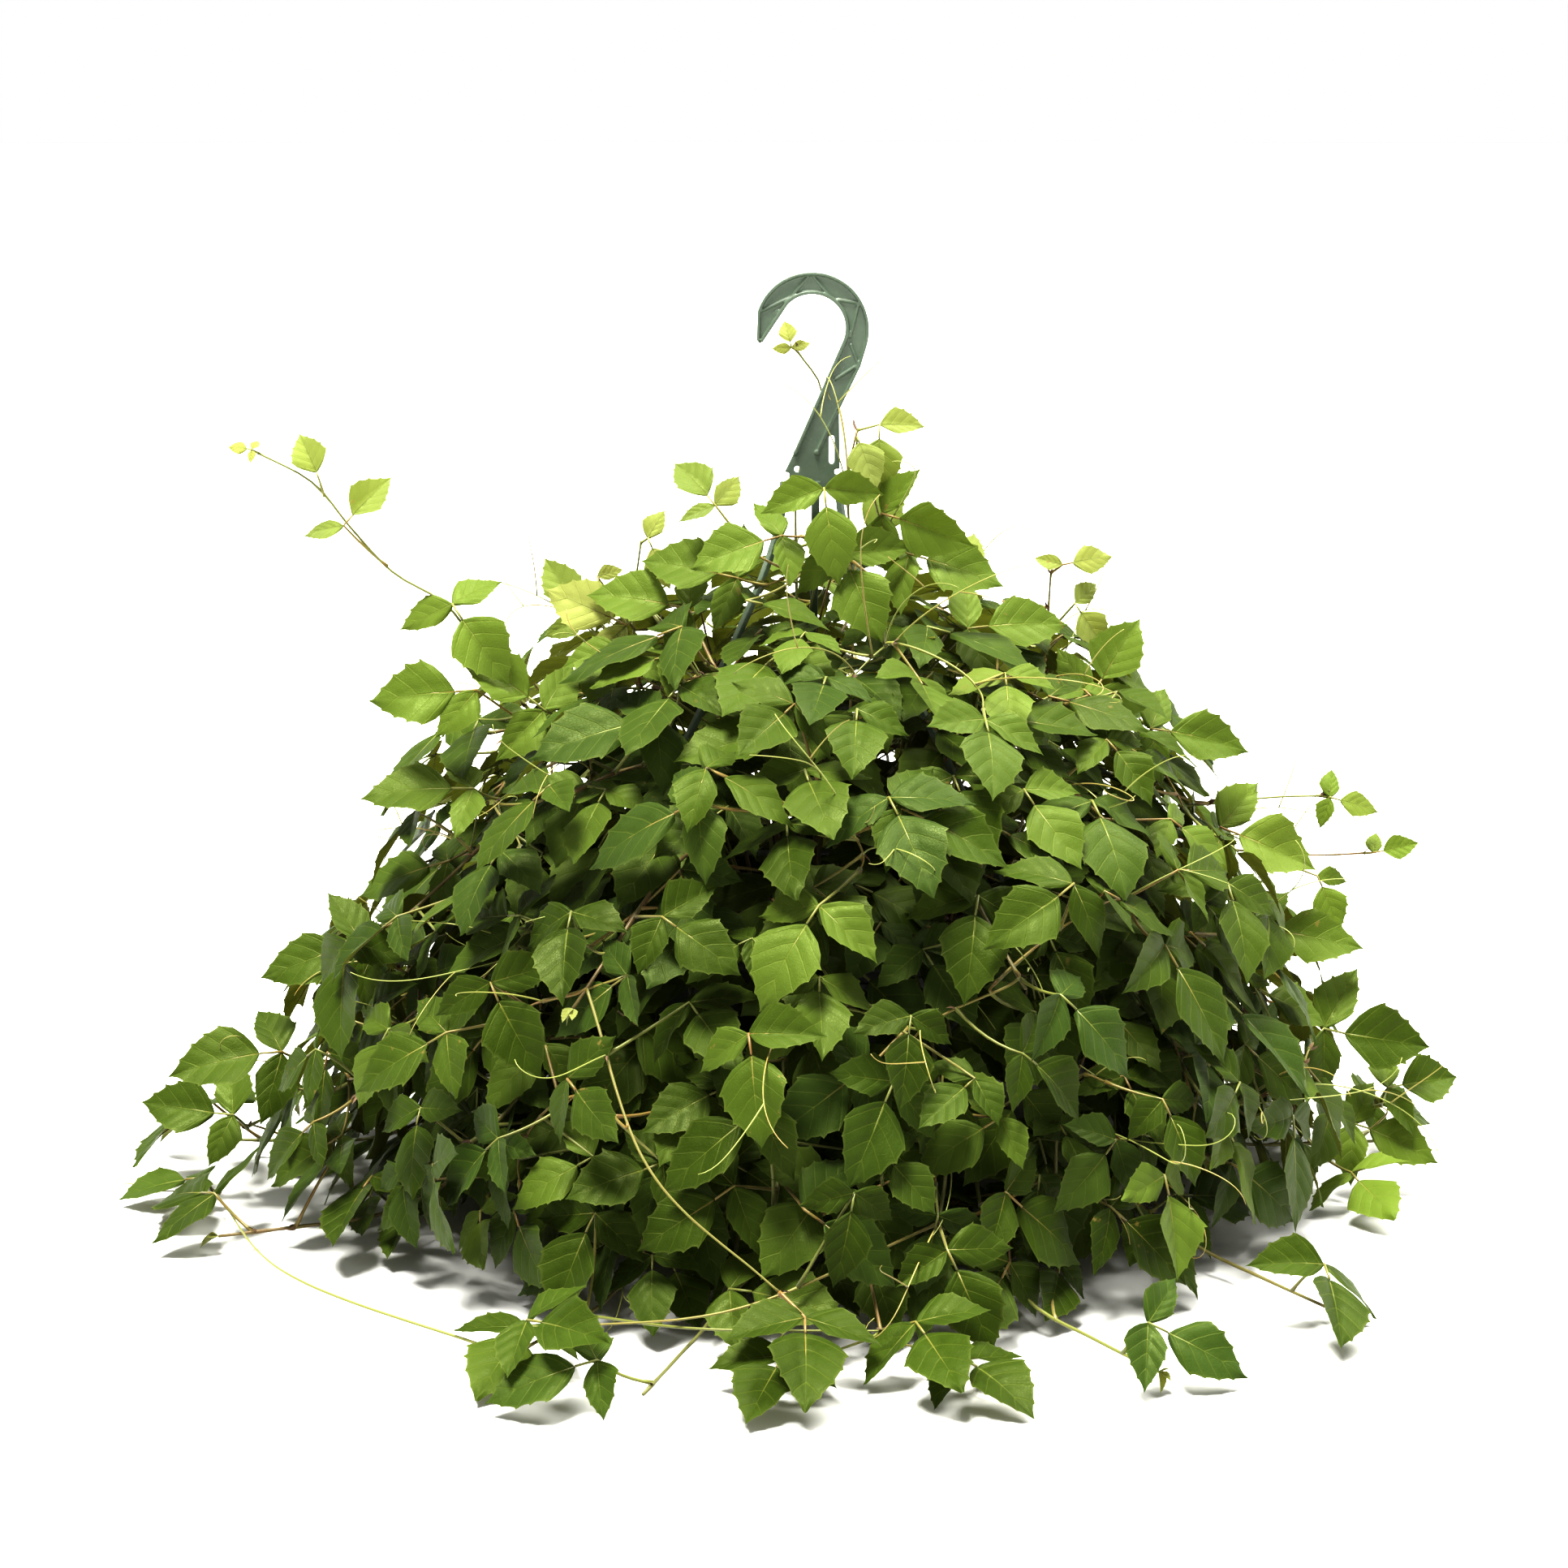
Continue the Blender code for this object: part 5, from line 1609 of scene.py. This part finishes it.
def build_mottle(net, take):
    here = net.place()
    broad = net.noise(here, take["Scale"], 2.0, 0.5)
    fine = net.noise(here, net.times(take["Scale"], 6.5), 4.0, 0.6)
    return {"Factor": net.span(net.total((broad, 0.65), (fine, 0.35)), 0.32, 0.68)}


def build_grain(net, take):
    here = net.place()
    pits = net.noise(here, take["Scale"], 3.0, 0.65)
    streaks = net.noise(net.stretch(here, (1.0, 1.0, 0.16)), net.times(take["Scale"], 0.30), 2.0, 0.5)
    shift = net.times(net.minus(streaks, 0.5), take["Unevenness"])
    return {"Height": net.total(pits, (streaks, 0.4)), "Roughness Shift": shift}


def build_dust(net, take):
    here = net.place()
    normal = net.node("ShaderNodeNewGeometry").outputs["Normal"]
    upward = net.span(net.node("ShaderNodeSeparateXYZ", {0: normal}).outputs[2], 0.1, 0.9)
    blotch = net.span(net.noise(here, 55.0, 4.0, 0.65), 0.35, 0.75)
    specks = net.span(net.noise(here, 900.0, 2.0, 0.5), 0.66, 0.74)
    film = net.total((upward, blotch), (specks, 0.5))
    return {"Dust": net.times(film, take["Amount"], clamp=True)}


def make_effects():
    return {
        "venation": effect(
            "leaf_venation",
            (("Rib Width", FLOAT, 0.05), ("Branch Width", FLOAT, 0.05), ("Net Scale", FLOAT, 6.0)),
            (("Ribs", FLOAT), ("Branches", FLOAT), ("Mesh", FLOAT), ("Margin", FLOAT), ("Height", FLOAT)),
            build_venation),
        "mottle": effect("soft_mottle", (("Scale", FLOAT, 60.0),), (("Factor", FLOAT),), build_mottle),
        "grain": effect(
            "moulded_grain", (("Scale", FLOAT, 900.0), ("Unevenness", FLOAT, 0.2)),
            (("Height", FLOAT), ("Roughness Shift", FLOAT)), build_grain),
        "dust": effect("settled_dust", (("Amount", FLOAT, 0.3),), (("Dust", FLOAT),), build_dust),
    }


def start_finish(name):
    finish = bpy.data.materials.new(name)
    finish.use_nodes = True
    net = Net(finish.node_tree)
    finish.node_tree.nodes.clear()
    return finish, net


def place_effect(net, tree, **values):
    made = net.node("ShaderNodeGroup", node_tree=tree)
    for label, value in values.items():
        net.feed(value, made.inputs[label.replace("_", " ")])
    return made.outputs


def close_finish(net, inputs, bounce=None, share=0.0):
    """Adds the shader, with this share of light let through the blade in the colour of bounce."""
    surface = net.node("ShaderNodeBsdfPrincipled", inputs).outputs[0]
    if bounce is not None:
        through = net.node("ShaderNodeBsdfTranslucent", {"Color": bounce}).outputs[0]
        surface = net.node("ShaderNodeMixShader", {0: share, 1: surface, 2: through}).outputs[0]
    net.node("ShaderNodeOutputMaterial", {"Surface": surface})


def leaf_finish(effects, name, fuzz, share):
    """A blade: tones run from dark to bright by the leaf's random tone and painted light from above, then
    to young by its age.
    """
    finish, net = start_finish(name)
    age, tone_and_painted_light, hue, wear = net.leaf_tint()
    veins = place_effect(net, effects["venation"], Rib_Width=0.060, Branch_Width=0.070, Net_Scale=5.0)
    mottle = place_effect(net, effects["mottle"], Scale=75.0)["Factor"]
    dark, middle, bluish, fresh, young = LEAF_TONES
    # Dark to middle by the leaf's brightness: random tone plus painted light that grows with height
    colour = net.mix(net.total((tone_and_painted_light, 0.8), (mottle, 0.2)), dark, middle)
    colour = net.mix(net.span(hue, 0.55, 0.95, 0.0, 0.8), colour, bluish)
    colour = net.mix(net.span(age, 0.22, 0.62), colour, fresh)
    colour = net.mix(net.span(age, 0.62, 1.0), colour, young)
    pale = net.total((veins["Ribs"], 0.44), (veins["Branches"], 0.17), (veins["Mesh"], 0.035), clamp=True)
    colour = net.mix(pale, colour, VEIN_TONE)
    colour = net.mix(net.times(veins["Margin"], 0.12), colour, young)
    blemish = net.span(net.noise(net.place(), 120.0, 3.0, 0.6), 0.66, 0.72)
    tired = net.times(blemish, net.span(wear, 0.80, 0.95))
    colour = net.mix(net.times(tired, 0.7), colour, BLEMISH)
    back = net.node("ShaderNodeNewGeometry").outputs["Backfacing"]
    below = net.mix(net.times(pale, 0.7), net.mix(0.35, UNDERSIDE, colour), VEIN_TONE)
    face = net.mix(back, colour, below)
    rough = net.total((mottle, 0.14), (veins["Mesh"], 0.03), LEAF_ROUGHNESS, (back, 0.18))
    raised = net.bump(0.42, 0.0005, veins["Height"])
    crinkled = net.bump(0.16, 0.0009, net.noise(net.place(), 420.0, 3.0, 0.6), Normal=raised)
    through = net.mix(1.0, face, LEAF_GLOW, "MULTIPLY")
    close_finish(net, {
        "Base Color": face, "Roughness": rough, "Normal": crinkled, "Specular IOR Level": 0.20,
        "Specular Tint": (0.88, 1.0, 0.42, 1.0), "Sheen Weight": fuzz, "Sheen Roughness": 0.45,
        "Sheen Tint": (0.86, 0.92, 0.70)}, through, share)
    return finish


def stem_finish(effects, name, older, younger, reddish, roughness):
    """A stem or stalk: older to younger green by its brightness and age, where a leaf stalk's brightness
    holds its leaf's painted light from above; green to reddish by its own tint, mottled and finely grained.
    """
    finish, net = start_finish(name)
    age, tone_and_painted_light, hue, _ = net.leaf_tint()
    mottle = place_effect(net, effects["mottle"], Scale=140.0)["Factor"]
    grain = place_effect(net, effects["grain"], Scale=1500.0, Unevenness=0.3)
    # A leaf stalk is painted lighter higher up with its leaf's painted light; on stems the brightness is a
    # random tone
    colour = net.mix(net.total((tone_and_painted_light, 0.6), (age, 0.4)), older, younger)
    flush = net.times(net.span(hue, 0.25, 0.95), net.total(0.35, (mottle, 0.65)))
    close_finish(net, {
        "Base Color": net.mix(flush, colour, reddish),
        "Roughness": net.total(grain["Roughness Shift"], roughness),
        "Normal": net.bump(0.35, 0.0003, grain["Height"]),
        "Specular IOR Level": 0.4, "Sheen Weight": 0.12, "Sheen Roughness": 0.5})
    return finish


def plastic_finish(effects, name, base, worn, roughness, grain_scale, dust_amount):
    """Moulded plastic: a fine eggshell grain with flow streaks, scuffs and a little dust."""
    finish, net = start_finish(name)
    mottle = place_effect(net, effects["mottle"], Scale=95.0)["Factor"]
    grain = place_effect(net, effects["grain"], Scale=grain_scale, Unevenness=0.26)
    dust = place_effect(net, effects["dust"], Amount=dust_amount)["Dust"]
    scuffs = net.span(net.noise(net.place(), 330.0, 5.0, 0.7, 1.4), 0.62, 0.70)
    colour = net.mix(net.times(mottle, 0.55), base, worn)
    colour = net.mix(net.times(scuffs, 0.20), colour, SCUFF)
    close_finish(net, {
        "Base Color": net.mix(dust, colour, DUST),
        "Roughness": net.total(grain["Roughness Shift"], roughness, (dust, 0.3)),
        "Normal": net.bump(0.28, 0.00022, grain["Height"]), "Specular IOR Level": 0.5})
    return finish


def earth_finish(effects, name, dark, light, scale, roughness):
    """Damp mix, bark or grit: mottled, rough and deeply grained."""
    finish, net = start_finish(name)
    mottle = place_effect(net, effects["mottle"], Scale=scale)["Factor"]
    grain = place_effect(net, effects["grain"], Scale=scale * 6.0, Unevenness=0.2)
    close_finish(net, {
        "Base Color": net.mix(mottle, dark, light),
        "Roughness": net.total(grain["Roughness Shift"], roughness),
        "Normal": net.bump(0.9, 0.0009, grain["Height"]), "Specular IOR Level": 0.3})
    return finish


def floor_finish():
    finish, net = start_finish("studio_floor")
    cloudy = net.noise(net.place(), 1.5, 3.0, 0.5)
    close_finish(net, {
        "Base Color": net.mix(cloudy, *FLOOR_TONES),
        "Roughness": net.span(cloudy, 0.0, 1.0, 0.55, 0.68),
        "Normal": net.bump(0.05, 0.0004, net.noise(net.place(), 700.0))})
    return finish


# ---------------------------------------------------------------------------------------------
# Vines

STEM_FINE = (0.00130, 0.00085)
SPRIG_FINE = (0.00105, 0.00055)
SHOOT_FINE = (0.00080, 0.00050)
TENDRIL_ODDS = 0.14
BUD_ODDS = 0.35
MARGIN = 0.0001

# Ages of the fixed layout's leaves: on a sprig by the end blade's length in millimetres
SPRIG_AGES = ((14, 26, 50), (1.0, 0.78, 0.48))
FRESH_ODDS = 0.14
FRESH_AGES = (0.46, 0.72)
GROWN_AGES = (0.0, 0.38)


def own_age(name, leaf, rng):
    """How young a leaf of the fixed layout is, from 0 to 1."""
    size = leaf[4][0][3] / MM
    if name.startswith("sprig"):
        return float(np.interp(size, *SPRIG_AGES)) + rng.uniform(-0.05, 0.05)
    return rng.uniform(*(FRESH_AGES if rng.random() < FRESH_ODDS else GROWN_AGES))


def joints_on(line, starts):
    """The shares of a line at which leaves start."""
    shares = []
    for start in starts:
        gaps = np.linalg.norm(line - start, axis=1)
        k = int(np.argmin(gaps))
        if gaps[k] < 0.003:
            shares.append(k / (len(line) - 1))
    return shares


def make_vine(name, path, growth, finishes, low, high):
    rng = random.Random(f"looks of {name}")
    sheet = Sheet()
    starts = [leaf[0] for leaf, _, _ in growth.leaves[name]]
    sprig = name.startswith("sprig")
    lines = [(path, SPRIG_FINE if sprig else STEM_FINE, STALK if sprig else WOODY)]
    lines += [(shoot, SHOOT_FINE, STALK) for shoot in growth.shoots[name]]
    for line, radii, finish in lines:
        fine = smooth_path(line, 4)
        joints = joints_on(fine, starts)
        fine_stem(sheet, line, radii, joints, rng.uniform(0.2, 0.9), rng, finish)
        for joint in joints:
            at, heading = along_path(fine, joint)
            for _ in range(rng.choice((0, 1, 2))):
                stipule(sheet, at, heading, rng)
            if rng.random() < TENDRIL_ODDS:
                aim = unit(outward(at) + heading * 0.6 + UP * rng.uniform(-0.4, 0.5))
                tendril(sheet, at, aim, rng.uniform(0.05, 0.11), rng)
        if rng.random() < BUD_ODDS:
            bud(sheet, fine[-1], unit(fine[-1] - fine[-2]), rng)
    for leaf, age, outer in growth.leaves[name]:
        fine_leaf(sheet, leaf, own_age(name, leaf, rng) if age is None else age, outer, rng)
    sheet.points = [np.clip(points, low, high) for points in sheet.points]
    dress(placed(f"{name}_vine", sheet.mesh(f"{name}_vine")), name, "foliage", *finishes)


def fill_out(growth, rng):
    """Sets the leaves of the outline, then closes the mass."""
    for row in FEATURES:
        growth.feature(row)
    for spacing, depth, jitter, cover, tries, sizes, young in ROUNDS:
        targets = mass_targets(rng, spacing, depth, jitter)
        growth.fill(targets, cover, tries, sizes, young, depth < OUTER_DEPTH)


# ---------------------------------------------------------------------------------------------
# Floor, light and camera

FLOOR_SIDES = 96
FLOOR_RINGS = (0.6, 1.5, 5.0, 40.0)
CONTRAST = 0.74

# Suns: name, strength, spread in degrees, the way towards it
SUNS = (("key", 15.2, 20, (-0.22, -0.22, 1.2)), ("rim", 6.0, 26, (0.50, 0.26, 1.1)))
SUN_COLOUR = (1.0, 0.985, 0.955)

VIEW_AIM = (-0.015, 0.0, 0.228)
VIEW_TILT = 12.0
VIEW_DISTANCE = 1.8
VIEW_LENS = 74.53
VIEW_SENSOR = 36.0


def make_floor(finish):
    sides = FLOOR_SIDES
    points, faces = [(0.0, 0.0, 0.0)], []
    for radius in FLOOR_RINGS:
        points += [tuple(polar(radius, 2 * math.pi * k / sides, 0.0)) for k in range(sides)]
    for k in range(sides):
        faces.append((0, 1 + k, 1 + (k + 1) % sides))
        for i in range(len(FLOOR_RINGS) - 1):
            a, b = 1 + i * sides + k, 1 + i * sides + (k + 1) % sides
            faces.append((a, a + sides, b + sides, b))
    mesh = bpy.data.meshes.new("studio_floor")
    mesh.from_pydata(points, [], faces)
    mesh.materials.append(finish)
    floor = placed("studio_floor", mesh)


def make_light():
    scene = bpy.context.scene
    scene.view_settings.view_transform = "Standard"
    scene.view_settings.gamma = CONTRAST
    world = bpy.data.worlds.new("studio")
    world.use_nodes = True
    background = world.node_tree.nodes["Background"]
    background.inputs["Color"].default_value = (1.0, 1.0, 1.0, 1.0)
    background.inputs["Strength"].default_value = 1.0
    scene.world = world
    for name, strength, spread, way in SUNS:
        lamp = bpy.data.lights.new(name, "SUN")
        lamp.energy = strength
        lamp.angle = math.radians(spread)
        lamp.color = SUN_COLOUR
        placed(name, lamp).rotation_euler = Vector(way).to_track_quat("Z", "Y").to_euler()


def make_camera():
    aim, tilt = Vector(VIEW_AIM), math.radians(VIEW_TILT)
    view = bpy.data.cameras.new("photo_view")
    view.sensor_width = VIEW_SENSOR
    view.lens = VIEW_LENS
    camera = placed("photo_view", view)
    camera.location = aim + Vector((0.0, -math.cos(tilt), math.sin(tilt))) * VIEW_DISTANCE
    camera.rotation_euler = (camera.location - aim).to_track_quat("Z", "Y").to_euler()
    bpy.context.scene.camera = camera


def main():
    cad_low, cad_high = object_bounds()
    low = np.array(cad_low) + MARGIN
    high = np.array(cad_high) - MARGIN
    low[2] = 3 * MARGIN
    effects = make_effects()
    foliage = [leaf_finish(effects, *row) for row in BLADES]
    foliage += [stem_finish(effects, *row) for row in STALKS]
    rng = random.Random(LAYOUT_SEED)
    obstacles = Obstacles()
    web, pieces = hanger_pieces(*HANGER_COUNTS)
    obstacles.add(joined([web] + pieces), "hanger")
    obstacles.add(pot_body(POT_SIDES), "pot")
    stems = lay_stems(rng, obstacles)
    leaves = lay_leaves(stems, rng, obstacles)
    fill_rng = random.Random(FILL_SEED)
    growth = Growth(stems, leaves, obstacles, low, high, fill_rng)
    fill_out(growth, fill_rng)
    for name, path in stems:
        make_vine(name, path, growth, foliage, low, high)
    dress(make_hanger(), "hanger", "hanger_plastic", plastic_finish(effects, *HANGER_PLASTIC))
    dress(make_pot(), "pot", "pot_plastic", plastic_finish(effects, *POT_PLASTIC))
    dress(make_mix(), "soil", "soil_mix", *[earth_finish(effects, *row) for row in EARTHS])
    make_floor(floor_finish())
    make_light()
    make_camera()


main()
